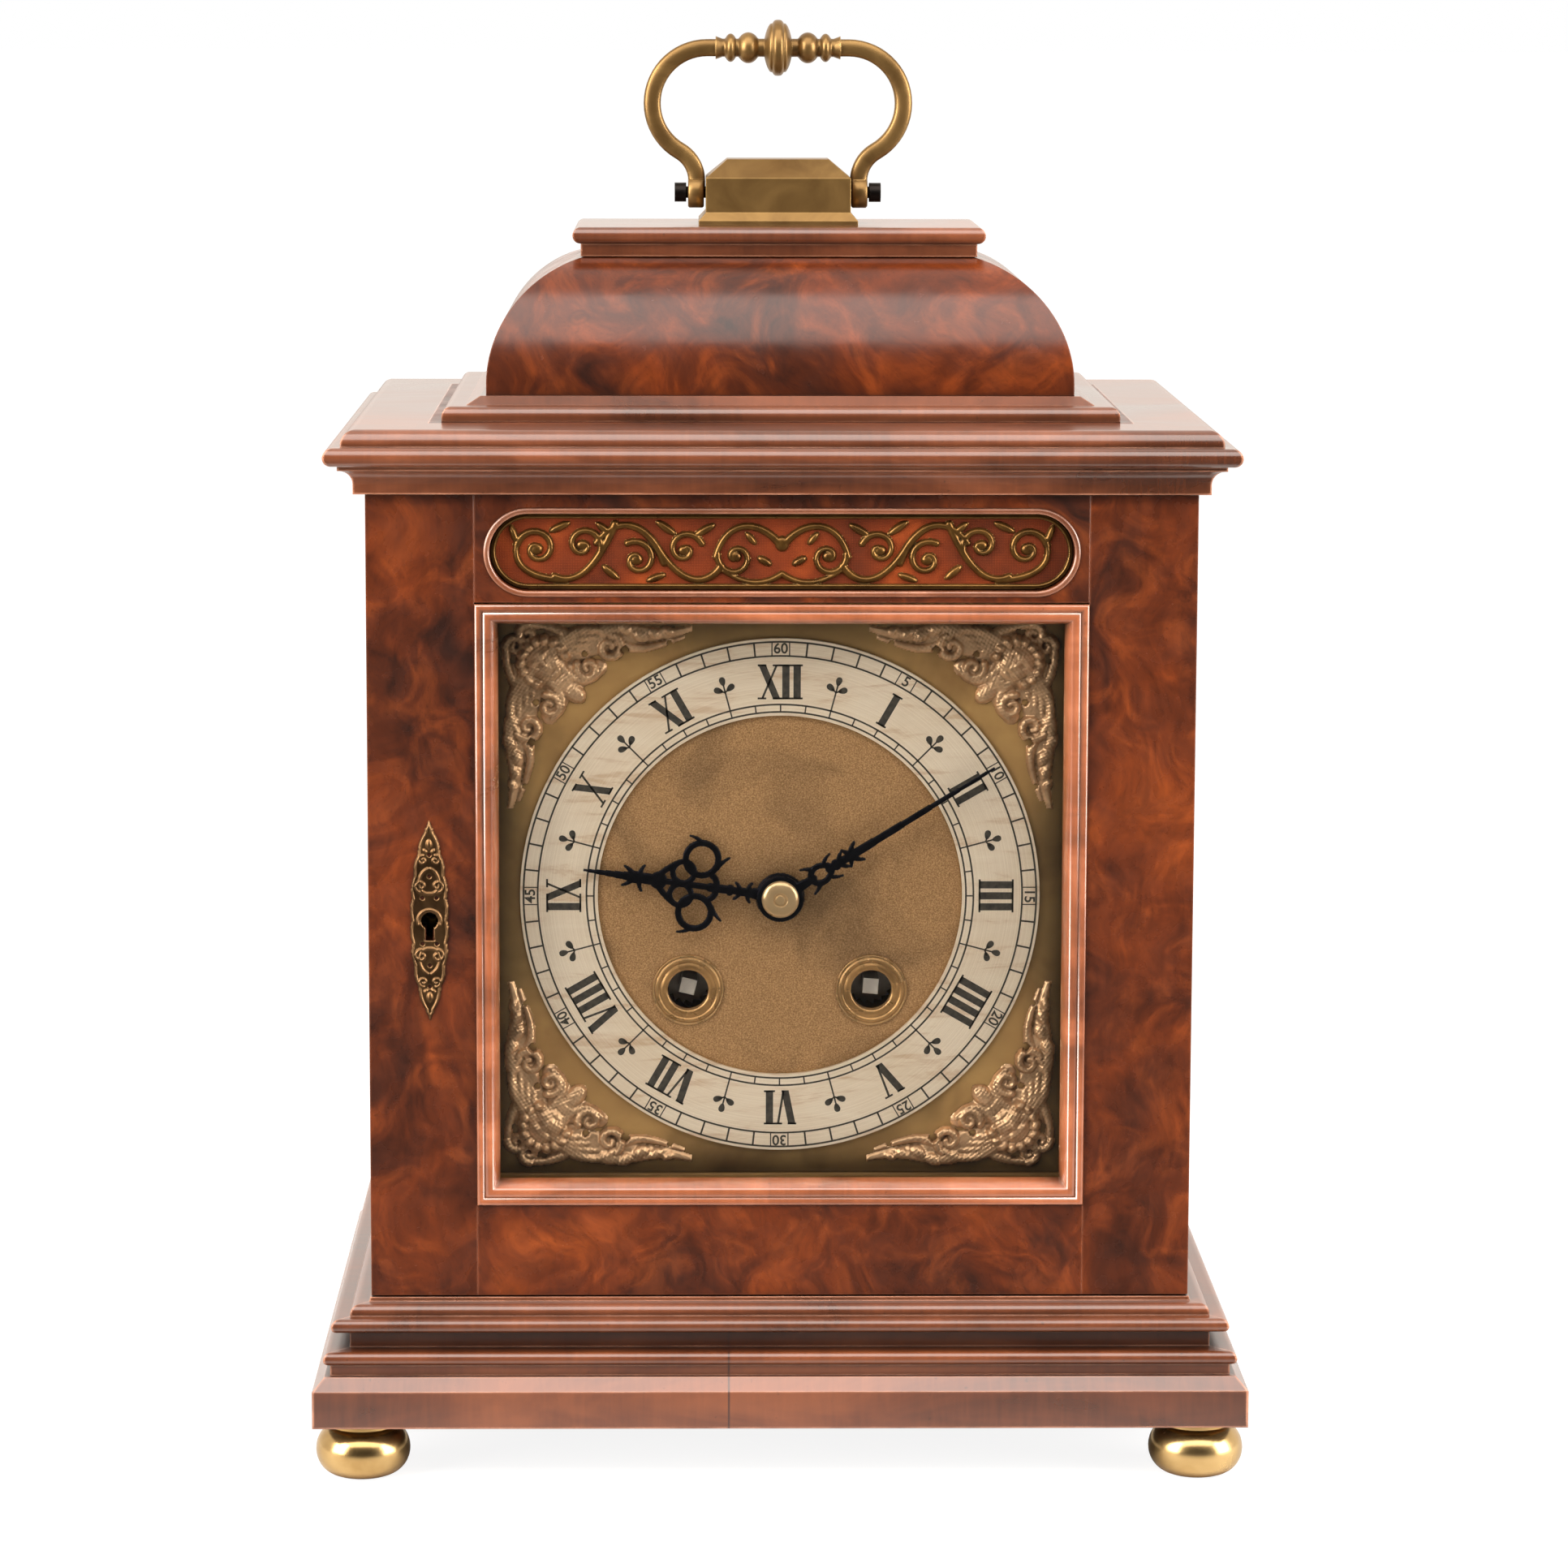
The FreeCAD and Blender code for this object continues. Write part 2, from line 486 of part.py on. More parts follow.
def make_mask():
    # the board that frames the dial, with room for the lock and for the sound behind the fret
    half = "(dial_size/2 + dial_fit)"
    window = rectangle("-" + half, "%s - %s" % (DIAL_Z, half), half, "%s + %s" % (DIAL_Z, half))
    sound_z = "(%s - slot_drop)" % CASE_TOP
    sound = rectangle("-0.42*slot_length", sound_z + " - slot_height/4", "0.42*slot_length",
                      sound_z + " + slot_height/4")
    lock_z = "(%s + keyhole_height)" % FLOOR
    lock_half = "(lock_height/2 + 2)"
    notch = "(lock_edge_gap + lock_width + 2 - %s)" % INNER_X
    frame = [(INNER_X, CASE_TOP), ("-" + INNER_X, CASE_TOP), ("-" + INNER_X, "%s + %s" % (lock_z, lock_half)),
             (notch, "%s + %s" % (lock_z, lock_half)), (notch, "%s - %s" % (lock_z, lock_half)),
             ("-" + INNER_X, "%s - %s" % (lock_z, lock_half)), ("-" + INNER_X, FLOOR), (INNER_X, FLOOR)]
    mask = prism("mask_board", "XZ", frame, MASK_FRONT, "mask_thickness", loops=[window, sound])
    node(mask, "dial_mask")


def make_caddy():
    z0 = CORNICE_TOP
    z1 = "(%s + caddy_base_face)" % z0
    z2 = "(%s + caddy_base_ovolo)" % z1
    inner = "(caddy_base_half - caddy_base_ovolo)"
    steps = [("caddy_base_half", z0), ("caddy_base_half", z1), (inner, z2, inner, z1, 1),
             ("caddy_base_step_half", z2), ("(dome_half + 1.5)", DOME_BOTTOM)]
    node(mitred_block("caddy_base_blank", steps, "(caddy_base_half + 1)"), "caddy_base_moulding")
    z3 = "(%s + dome_foot)" % DOME_BOTTOM
    centre = "(dome_half - dome_radius)"
    top_half = "(%s + sqrt(dome_radius^2 - (dome_height - dome_foot)^2))" % centre
    steps = [("dome_half", DOME_BOTTOM), ("dome_half", z3), (top_half, DOME_TOP, centre, z3, 1)]
    node(mitred_block("caddy_dome_blank", steps, "(dome_half + 1)"), "caddy_dome")
    z4 = "(%s + pad_neck_height)" % DOME_TOP
    edge = "(pad_half - pad_edge)"
    steps = [("pad_neck_half", DOME_TOP), ("pad_neck_half", z4),
             (edge, z4), (edge, PAD_TOP, edge, z4 + " + pad_edge", 1)]
    node(mitred_block("top_pad_blank", steps, "(pad_half + 1)"), "caddy_top_pad")


# ---- handle ----

def make_handle_base():
    half = ["(handle_flange_width/2)", "(handle_block_width/2)", "(handle_cap_width/2)"]
    z0, z1 = PAD_TOP, "(%s + handle_flange_height)" % PAD_TOP
    z2 = "(%s + handle_block_height)" % PAD_TOP
    z3 = "(%s + handle_cap_height)" % z2
    foot = "1.2"
    right = [(half[0], z0), (half[0], "%s + %s" % (z0, foot)), (half[1], z1), (half[1], z2), (half[2], z3)]
    depth = "(handle_block_width - handle_base_depth)/2"
    wide = prism("handle_base_width", "XZ", both_sides(right, "0"), "-handle_base_depth",
                 "2*handle_base_depth")
    deep = prism("handle_base_profile", "YZ", both_sides(right, depth), "-handle_flange_width",
                 "2*handle_flange_width")
    base = common("handle_base_blank", wide, deep)
    holes = []
    for sign in ("-", ""):
        x = "-handle_block_width/2" if sign else "handle_block_width/2 - handle_screw_depth"
        holes.append(rod("handle_tap" + sign.replace("-", "_left"), "x", x, "0", PIVOT_Z,
                         "handle_screw_radius", "handle_screw_depth"))
    node(cut("handle_base_drilled", base, *holes), "handle_base")
    screws = []
    start = "(handle_block_width/2 - handle_screw_depth)"
    head = "(handle_block_width/2 + handle_side_gap + handle_boss_width + handle_side_gap)"
    for sign in ("-", ""):
        tag = "_left" if sign else "_right"
        shank = rod("screw_shank" + tag, "x", "-" + head if sign else start, "0", PIVOT_Z,
                    "handle_screw_radius", "%s - %s" % (head, start))
        cap = rod("screw_head" + tag, "x", "-(%s + handle_head_length)" % head if sign else head, "0",
                  PIVOT_Z, "handle_head_radius", "handle_head_length")
        screws.append(join("screw" + tag, shank, cap))
    node(group("screws", screws), "handle_pivot_screws")


def faceted_run(edge, radius, sides=10):
    # a bar of many-sided section along one straight or curved stretch of the bow
    start, ahead = edge.valueAt(edge.FirstParameter), edge.tangentAt(edge.FirstParameter)
    aside, up = FreeCAD.Vector(0, 1, 0), ahead.cross(FreeCAD.Vector(0, 1, 0))
    corners = [start + aside * (radius * math.cos(2 * math.pi * (k + 0.5) / sides))
               + up * (radius * math.sin(2 * math.pi * (k + 0.5) / sides)) for k in range(sides)]
    face = Part.Face(Part.makePolygon(corners + corners[:1]))
    if edge.Curve.TypeId == "Part::GeomLine":
        return face.extrude(ahead * edge.Length)
    centre = edge.Curve.Center
    turn = (start - centre).cross(ahead).y
    swept = math.degrees(edge.Length / edge.Curve.Radius)
    return face.revolve(centre, aside, swept if turn > 0 else -swept)


def bow_half():
    # right half of the bow: foot, small reverse curve, large curve and the straight top
    rise, radius, turn = num("bow_rise"), num("bow_radius"), math.radians(num("bow_turn"))
    foot_x, mid_x, wire = num("bow_foot"), num("bow_centre"), num("bow_thickness")
    reverse = (mid_x + radius * math.cos(turn) - foot_x) / (1 - math.cos(turn))
    centre = FreeCAD.Vector(mid_x, 0, rise)
    outer = FreeCAD.Vector(foot_x + reverse, 0, rise - (radius + reverse) * math.sin(turn))

    def on(middle, size, angle):
        return middle + FreeCAD.Vector(size * math.cos(angle), 0, size * math.sin(angle))

    foot = outer - FreeCAD.Vector(reverse, 0, 0)
    join_at = on(centre, radius, -turn)
    top = on(centre, radius, math.pi / 2)
    grip = FreeCAD.Vector(num("handle_grip_end") - 1, 0, top.z)
    edges = [Part.LineSegment(FreeCAD.Vector(foot_x, 0, 0), foot).toShape(),
             Part.Arc(foot, on(outer, reverse, math.pi - turn / 2), join_at).toShape(),
             Part.Arc(join_at, on(centre, radius, math.pi / 12), top).toShape(),
             Part.LineSegment(top, grip).toShape()]
    bow = [faceted_run(edge, wire / 2) for edge in edges]
    bow = bow[0].multiFuse(bow[1:])
    boss = Part.makeCylinder(num("handle_boss_radius"), num("handle_boss_width"),
                             FreeCAD.Vector(num("handle_block_width/2 + handle_side_gap"), 0, 0),
                             FreeCAD.Vector(1, 0, 0))
    hole = Part.makeCylinder(num("handle_screw_radius + running_fit"), num("handle_boss_width") * 3,
                             FreeCAD.Vector(num("handle_block_width/2"), 0, 0) - FreeCAD.Vector(5, 0, 0),
                             FreeCAD.Vector(1, 0, 0))
    return bow.fuse(boss).cut(hole), top.z


def grip(height):
    # turned middle of the bow: a knob between two balls and two collars on a thinner neck
    neck, end = num("handle_neck_radius"), num("handle_grip_end")
    swells = [(0.0, num("knob_half_width"), num("handle_knob_radius"))]
    for side in (-1, 1):
        swells += [(side * num("handle_ball_place"), num("handle_ball_width/2"), num("handle_ball_radius")),
                   (side * num("handle_collar_place"), num("handle_collar_width/2"),
                    num("handle_collar_radius"))]
    corner = FreeCAD.Vector(-end, 0, height)
    edges, at = [], corner + FreeCAD.Vector(0, 0, neck)
    edges.append(Part.LineSegment(corner, at).toShape())
    for x, half, radius in sorted(swells):
        swell = [FreeCAD.Vector(x - half * math.cos(math.pi * k / 6), 0,
                                height + neck + (radius - neck) * math.sin(math.pi * k / 6)) for k in range(7)]
        for point in swell:
            edges.append(Part.LineSegment(at, point).toShape())
            at = point
    shoulder, last = FreeCAD.Vector(end, 0, height + neck), FreeCAD.Vector(end, 0, height)
    edges += [Part.LineSegment(at, shoulder).toShape(), Part.LineSegment(shoulder, last).toShape(),
              Part.LineSegment(last, corner).toShape()]
    return Part.Face(Part.Wire(edges)).revolve(corner, FreeCAD.Vector(1, 0, 0), 360)


def make_handle():
    right, height = bow_half()
    left = right.mirror(FreeCAD.Vector(), FreeCAD.Vector(1, 0, 0))
    handle = solid("handle_bow", grip(height).multiFuse([right, left]))
    node(place(handle, z=PIVOT_Z), "carrying_handle")


# ---- front door ----

def make_front_door():
    bottom, top = DOOR_BOTTOM, DOOR_TOP
    height = "(%s - %s)" % (top, bottom)
    x0, x1 = "(case_width/2)", SIGHT_HALF
    keyhole = ["-(case_width/2 - keyhole_inset)", "(%s + keyhole_height)" % FLOOR]
    left = block("stile_left_board", "-" + x0, DOOR_FACE, bottom, "stile_width - joint_gap",
                 "door_thickness", height)
    bore = rod("stile_keyhole", "y", keyhole[0], DOOR_FACE, keyhole[1], "keyhole_radius + 0.3",
               "door_thickness")
    slit = block("stile_slit", "%s - keyhole_slot_width/2" % keyhole[0], DOOR_FACE,
                 "%s - keyhole_slot_drop" % keyhole[1], "keyhole_slot_width", "door_thickness",
                 "keyhole_slot_drop")
    node(cut("stile_left_pierced", left, bore, slit), "door_stile_left")
    plan = [(x1 + " + joint_gap", DOOR_FACE), (x0, DOOR_FACE), (x0, FRONT_PIVOT[1]),
            (FRONT_PIVOT[0], DOOR_BACK, FRONT_PIVOT[0], FRONT_PIVOT[1], 1),
            (x1 + " + joint_gap", DOOR_BACK)]
    right = prism("stile_right_board", "XY", plan, bottom, height)
    sockets = pivot_rods("front_socket", FRONT_PIVOT, bottom, top, "pivot_radius", socket=True)
    node(cut("stile_right_drilled", right, *sockets), "door_stile_right")
    node(group("front_pins", pivot_rods("front_pin", FRONT_PIVOT, bottom, top, "pivot_radius")),
         "door_pivot_pins")
    sight_low, sight_top = "(%s + bottom_rail_width)" % bottom, "(%s - top_rail_width)" % top
    node(block("rail_bottom_board", "-" + x1, DOOR_FACE, bottom, "2*" + x1, "door_thickness",
               "bottom_rail_width"), "door_rail_bottom")
    slot_z = "(%s - slot_drop)" % CASE_TOP
    rail = prism("rail_top_board", "XZ", rectangle("-" + x1, sight_top, x1, top), DOOR_FACE,
                 "door_thickness", loops=[rounded_slot("slot_length/2", "slot_height/2", slot_z)])
    rebate = prism("rail_top_rebate", "XZ",
                   rounded_slot("slot_length/2 + silk_overlap", "slot_height/2 + silk_overlap - 0.6", slot_z),
                   "%s + fret_setback + fret_thickness" % DOOR_FACE, "door_thickness")
    node(cut("rail_top_rebated", rail, rebate), "door_rail_top")
    return sight_low, sight_top, slot_z


def pivot_rods(name, pivot, bottom, top, radius, socket=False):
    # a pin in the lower and in the upper edge of a door, standing out into its plate
    inside = "4"
    out = "0" if socket else "pivot_length + door_gap"
    low = rod(name + "_low", "z", pivot[0], pivot[1], "%s - (%s)" % (bottom, out), radius,
              "%s + %s" % (inside, out))
    high = rod(name + "_high", "z", pivot[0], pivot[1], "%s - %s" % (top, inside), radius,
               "%s + %s" % (inside, out))
    return [low, high]


def rounded_slot(half_length, half_height, z):
    end = "(%s - (%s))" % (half_length, half_height)
    low, high = "(%s - (%s))" % (z, half_height), "(%s + %s)" % (z, half_height)
    return [("-" + end, low, "-" + end, z, 1), (end, low), (end, high, end, z, 1), ("-" + end, high)]


def make_sight(low, top):
    # small mitred moulding round the glass, its lip standing just proud of the door
    half_z = "((%s - %s)/2)" % (top, low)
    steps = [("0", "sight_lip"), ("(-sight_bead)", "sight_lip + sight_bead/2"),
             ("(-2*sight_bead)", "sight_lip"),
             ("(-sight_width)", "(-sight_depth + 1.5)"), ("(-sight_width)", "(-sight_depth)"),
             ("0", "(-sight_depth)")]
    ring = mitred_ring("sight", "(%s - joint_gap)" % SIGHT_HALF, "(%s - joint_gap)" % half_z, steps[::-1],
                       "-sight_depth", "sight_depth + sight_lip + sight_bead", "sight_width")
    ring.Placement.Rotation = FreeCAD.Rotation(FreeCAD.Vector(1, 0, 0), 90)
    place(ring, "0", DOOR_FACE, "(%s + %s)/2" % (low, top))
    node(ring, "door_sight_moulding")
    size = "(2*%s - 2*glass_clearance)" % SIGHT_HALF
    node(block("glass_pane", "-%s/2" % size, "%s + sight_depth + 0.05" % DOOR_FACE,
               "%s + glass_clearance" % low, size, "glass_thickness",
               "%s - %s - 2*glass_clearance" % (top, low)), "door_glass")


def make_fret(slot_z):
    # pierced scroll fret: an outer rim, a stem of linked waves and a curl in each hollow
    half, high = num("slot_length/2 - fret_clearance"), num("slot_height/2 - fret_clearance")
    rim, bar, thick = num("fret_rim"), num("fret_bar"), num("fret_thickness")

    def stadium(x, z):
        box = Part.makeBox(2 * (x - z), thick, 2 * z, FreeCAD.Vector(z - x, 0, -z))
        ends = [Part.makeCylinder(z, thick, FreeCAD.Vector(s * (x - z), 0, 0), FreeCAD.Vector(0, 1, 0))
                for s in (-1, 1)]
        return box.multiFuse(ends)

    # scrolls stand in two staggered rows, each joined to its neighbours, to the rim and to a leaf
    pieces = [stadium(half, high).cut(stadium(half - rim, high - rim))]
    inner = high - rim
    radius = num("scroll_share") * inner
    rise = inner + 0.4 * bar - radius
    pitch = math.sqrt((2 * radius - bar) ** 2 - (2 * rise) ** 2)
    count = int((half - high) / pitch)
    for k in range(-count, count + 1):
        up = 1 if k % 2 else -1
        centre = FreeCAD.Vector(k * pitch, 0, up * rise)
        ring = sided_post(radius, centre.x, centre.z, 0, thick, 16)
        pieces.append(ring.cut(sided_post(radius - bar, centre.x, centre.z, 0, thick, 16)))
        side = 1 if k >= 0 else -1
        leaf = centre + FreeCAD.Vector(side * 0.35 * (radius - bar), 0, -up * 0.85 * (radius - bar))
        pieces.append(sided_post(1.4 * bar, leaf.x, leaf.z, 0, thick, 8))
    for side in (-1, 1):
        reach = half - rim / 2 - count * pitch
        low_x = side * (count * pitch + radius - bar / 2) if side > 0 else -half + rim / 2
        length = reach - radius + bar / 2
        pieces.append(Part.makeBox(length, thick, bar, FreeCAD.Vector(low_x, 0, -rise - bar / 2 if count % 2 == 0
                                                                      else rise - bar / 2)))
    fret = solid("fret_plate", pieces[0].multiFuse(pieces[1:]).removeSplitter())
    node(place(fret, "0", "%s + fret_setback" % DOOR_FACE, slot_z), "sound_fret")
    cloth_y = "%s + fret_setback + fret_thickness + 0.02" % DOOR_FACE
    outline = rounded_slot("slot_length/2 + silk_overlap - 0.5", "slot_height/2 + silk_overlap - 1.1", slot_z)
    node(prism("silk_strip", "XZ", outline, cloth_y, "silk_thickness"), "fret_silk")


def make_escutcheon():
    x, z = "-(case_width/2 - keyhole_inset)", "(%s + keyhole_height)" % FLOOR
    length, width = num("scutcheon_length/2"), num("scutcheon_width/2")
    waist, thick = num("scutcheon_waist/2"), num("scutcheon_thickness")
    radius = (length ** 2 + width ** 2) / (2 * width)
    lens = [Part.makeCylinder(radius, thick, FreeCAD.Vector(s * (radius - width), 0, 0),
                              FreeCAD.Vector(0, 1, 0)) for s in (-1, 1)]
    plate = lens[0].common(lens[1])
    beads = [Part.makeCylinder(waist * 0.5, thick, FreeCAD.Vector(0, 0, s * length * 0.86),
                               FreeCAD.Vector(0, 1, 0)) for s in (-1, 1)]
    plate = plate.multiFuse(beads)
    holes = [Part.makeCylinder(num("keyhole_radius"), thick, FreeCAD.Vector(), FreeCAD.Vector(0, 1, 0)),
             Part.makeBox(num("keyhole_slot_width"), thick, num("keyhole_slot_drop"),
                          FreeCAD.Vector(-num("keyhole_slot_width") / 2, 0, -num("keyhole_slot_drop")))]
    for side in (-1, 1):
        for k in (0.36, 0.52, 0.68):
            for across in (-1, 1):
                holes.append(sided_post(0.7, across * width * (0.75 - k / 2), side * k * length, 0, thick, 8))
    plate = plate.cut(holes).removeSplitter()
    node(place(solid("scutcheon_plate", plate), x, "%s - scutcheon_thickness" % DOOR_FACE, z),
         "keyhole_escutcheon")


def make_lock():
    # lock box on the back of the stile, its bolt sliding towards the side panel
    z = "(%s + keyhole_height)" % FLOOR
    x = "(lock_edge_gap - %s)" % INNER_X
    box = block("lock_box", x, DOOR_BACK, "%s - lock_height/2" % z, "lock_width", "lock_depth",
                "lock_height")
    way = block("lock_way", "%s - 1" % x, "%s - bolt_clearance" % BOLT_Y,
                "%s - bolt_height/2 - bolt_clearance" % z,
                "bolt_length + bolt_clearance + 1", "bolt_thickness + 2*bolt_clearance",
                "bolt_height + 2*bolt_clearance")
    well = rod("lock_well", "y", "-(case_width/2 - keyhole_inset)", DOOR_BACK, z, "keyhole_radius",
               "lock_depth/2")
    node(cut("lock_case", box, way, well), "door_lock")
    node(block("bolt_bar", x, BOLT_Y, "%s - bolt_height/2" % z, "bolt_length", "bolt_thickness",
               "bolt_height"), "lock_bolt")


# ---- rear door ----

def make_rear_door():
    y0, y1 = "(case_depth/2 - rear_inset - rear_thickness)", "(case_depth/2 - rear_inset)"
    half = "(%s - rear_gap)" % INNER_X
    bottom, top, r = DOOR_BOTTOM, DOOR_TOP, "rear_thickness/2"
    height = "(%s - %s)" % (top, bottom)
    plan = [(REAR_PIVOT[0], y1), (REAR_PIVOT[0], y0, REAR_PIVOT[0], REAR_PIVOT[1], 1),
            ("(rear_stile - %s)" % half, y0), ("(rear_stile - %s)" % half, y1)]
    pivot_stile = cut("rear_stile_drilled", prism("rear_stile_left", "XY", plan, bottom, height),
                      *pivot_rods("rear_socket", REAR_PIVOT, bottom, top, "pivot_radius", socket=True))
    stile = block("rear_stile_right", "%s - rear_stile" % half, y0, bottom, "rear_stile",
                  "rear_thickness", height)
    rail_x, rail_length = "(rear_stile + joint_gap - %s)" % half, "(2*(%s - rear_stile - joint_gap))" % half
    rails = [block("rear_rail_%s" % end, rail_x, y0, z, rail_length, "rear_thickness", "rear_stile")
             for end, z in (("low", bottom), ("top", "%s - rear_stile" % top))]
    rebate = block("rear_rebate", "%s - rear_rebate" % rail_x, y0,
                   "%s + rear_stile - rear_rebate" % bottom, "%s + 2*rear_rebate" % rail_length,
                   "rear_glass_depth", "%s - 2*rear_stile + 2*rear_rebate" % height)
    frame = [cut("rear_frame_%d" % i, piece, rebate)
             for i, piece in enumerate([pivot_stile, stile] + rails)]
    node(group("rear_frame", frame), "rear_door_frame")
    node(block("rear_pane", "%s - rear_rebate + glass_clearance" % rail_x,
               "%s + rear_glass_depth - glass_thickness" % y0,
               "%s + rear_stile - rear_rebate + glass_clearance" % bottom,
               "%s + 2*rear_rebate - 2*glass_clearance" % rail_length, "glass_thickness",
               "%s - 2*rear_stile + 2*rear_rebate - 2*glass_clearance" % height), "rear_door_glass")
    pins = pivot_rods("rear_pin", REAR_PIVOT, bottom, top, "pivot_radius")
    node(group("rear_pins", pins), "rear_door_pivot_pins")
    r = "knob_radius"
    steps = [("0", "0"), ("0.5*" + r, "0"), ("0.5*" + r, "0.45*knob_length"), (r, "0.6*knob_length"),
             (r, "0.8*knob_length"), ("0.6*" + r, "knob_length"), ("0", "knob_length")]
    knob = place(turned("knob", "XY", steps), "%s - rear_stile/2" % half, y1, "(%s + %s)/2" % (bottom, top))
    node(knob, "rear_door_knob")


# ---- dial ----

def make_dial():
    half = "dial_size/2"
    holes = [("0", DIAL_Z, "dial_centre_hole")]
    collars = []
    for sign in ("-", ""):
        spot = (sign + "winding_x", "(%s - winding_drop)" % DIAL_Z)
        holes.append(spot + ("winding_hole",))
        collars.append(prism("collar_left" if sign else "collar_right", "XZ", None,
                             "%s - collar_thickness" % DIAL_FRONT, "collar_thickness",
                             circles=[spot + ("winding_hole",), spot + ("collar_radius",)]))
    sheet_brass = prism("dial_sheet", "XZ", rectangle("-" + half, "%s - %s" % (DIAL_Z, half), half,
                                                      "%s + %s" % (DIAL_Z, half)),
                        DIAL_FRONT, "dial_thickness", circles=holes)
    feet = [rod("dial_foot_%d" % i, "y", x + "dial_foot_x", DIAL_BACK, "%s %s dial_foot_z" % (DIAL_Z, z),
                "dial_foot_radius", "motion_space")
            for i, (x, z) in enumerate([("", "+"), ("-", "+"), ("", "-"), ("-", "-")])]
    node(join("dial_with_feet", sheet_brass, *feet), "dial_plate")
    node(prism("numeral_ring", "XZ", None, "%s - ring_thickness" % DIAL_FRONT, "ring_thickness",
               circles=[("0", DIAL_Z, "ring_outer"), ("0", DIAL_Z, "ring_inner")]), "chapter_ring")
    node(group("collars", collars), "winding_collars")
    make_spandrels()


def make_spandrels():
    # cast corner ornament: a winged head with two scrolled legs that follow the ring
    leg, edge, thick = num("spandrel_leg"), num("spandrel_edge"), num("spandrel_thickness")
    corner = num("dial_size/2") - edge
    y = FreeCAD.Vector(0, 1, 0)

    def disc(radius, x, z, sides=10):
        return sided_post(radius, x, z, -thick, thick, sides)

    plate = Part.makeBox(leg, thick, leg, FreeCAD.Vector(corner - leg, -thick, corner - leg))
    plate = plate.cut(disc(num("ring_outer") + 1.6, 0, 0, 90))
    bites = []
    for k, size in ((0.86, 1.6), (0.66, 2.1), (0.42, 1.9), (0.2, 1.3)):
        away = corner - leg * k
        bites += [disc(size, away, corner + 0.3), disc(size, corner + 0.3, away)]
    for k, depth in ((0.3, 5.2), (0.48, 4.2)):
        bites += [disc(1.5, corner - leg * k, corner - depth), disc(1.5, corner - depth, corner - leg * k)]
    bites.append(disc(1.7, corner, corner))
    plate = plate.cut(bites)
    head_at = corner - 12.5
    head = num("spandrel_head")
    relief = [Part.makeCone(share * head, (share - 0.3) * head, 1.1, FreeCAD.Vector(head_at, -thick - rise, head_at),
                            -y) for share, rise in ((0.95, 0.0), (0.65, 1.1))]
    for along, across in ((9.5, -4.5), (-4.5, 9.5)):
        wide, high = (8.0, 3.0) if along > 0 else (3.0, 8.0)
        outline = [FreeCAD.Vector(head_at - along + wide * math.cos(math.pi * k / 6), -thick,
                                  head_at - across + high * math.sin(math.pi * k / 6)) for k in range(12)]
        relief.append(Part.Face(Part.makePolygon(outline + outline[:1])).extrude(-y))
    back = Part.makeBox(2 * corner, corner, 2 * corner, FreeCAD.Vector(0, 0, 0))
    one = plate.multiFuse(relief).cut(back)
    if len(one.Solids) > 1:
        one = max(one.Solids, key=lambda piece: piece.Volume)
    right = [one, one.mirror(FreeCAD.Vector(), FreeCAD.Vector(0, 0, 1))]
    both = right + [piece.mirror(FreeCAD.Vector(), FreeCAD.Vector(1, 0, 0)) for piece in right]
    node(place(solid("spandrel_set", Part.makeCompound(both)), "0", DIAL_FRONT, DIAL_Z),
         "corner_spandrels")


# ---- hands ----

HAND_BASE = "(%s - ring_thickness)" % DIAL_FRONT
HOUR_BACK = "(%s - hour_hand_lift)" % HAND_BASE
MINUTE_BACK = "(%s - hand_thickness - minute_hand_lift)" % HOUR_BACK


def flat_bar(points, thick):
    corners = [FreeCAD.Vector(x, 0, z) for x, z in points]
    return Part.Face(Part.makePolygon(corners + corners[:1])).extrude(FreeCAD.Vector(0, -thick, 0))


def flat_disc(radius, x, z, thick):
    return Part.makeCylinder(radius, thick, FreeCAD.Vector(x, 0, z), FreeCAD.Vector(0, -1, 0))


def flat_ring(radius, wire, x, z, thick):
    return flat_disc(radius, x, z, thick).cut(flat_disc(radius - wire, x, z, thick))


def blade(start, end, wide, narrow, thick):
    return flat_bar([(-wide / 2, start), (wide / 2, start), (narrow / 2, end), (-narrow / 2, end)], thick)


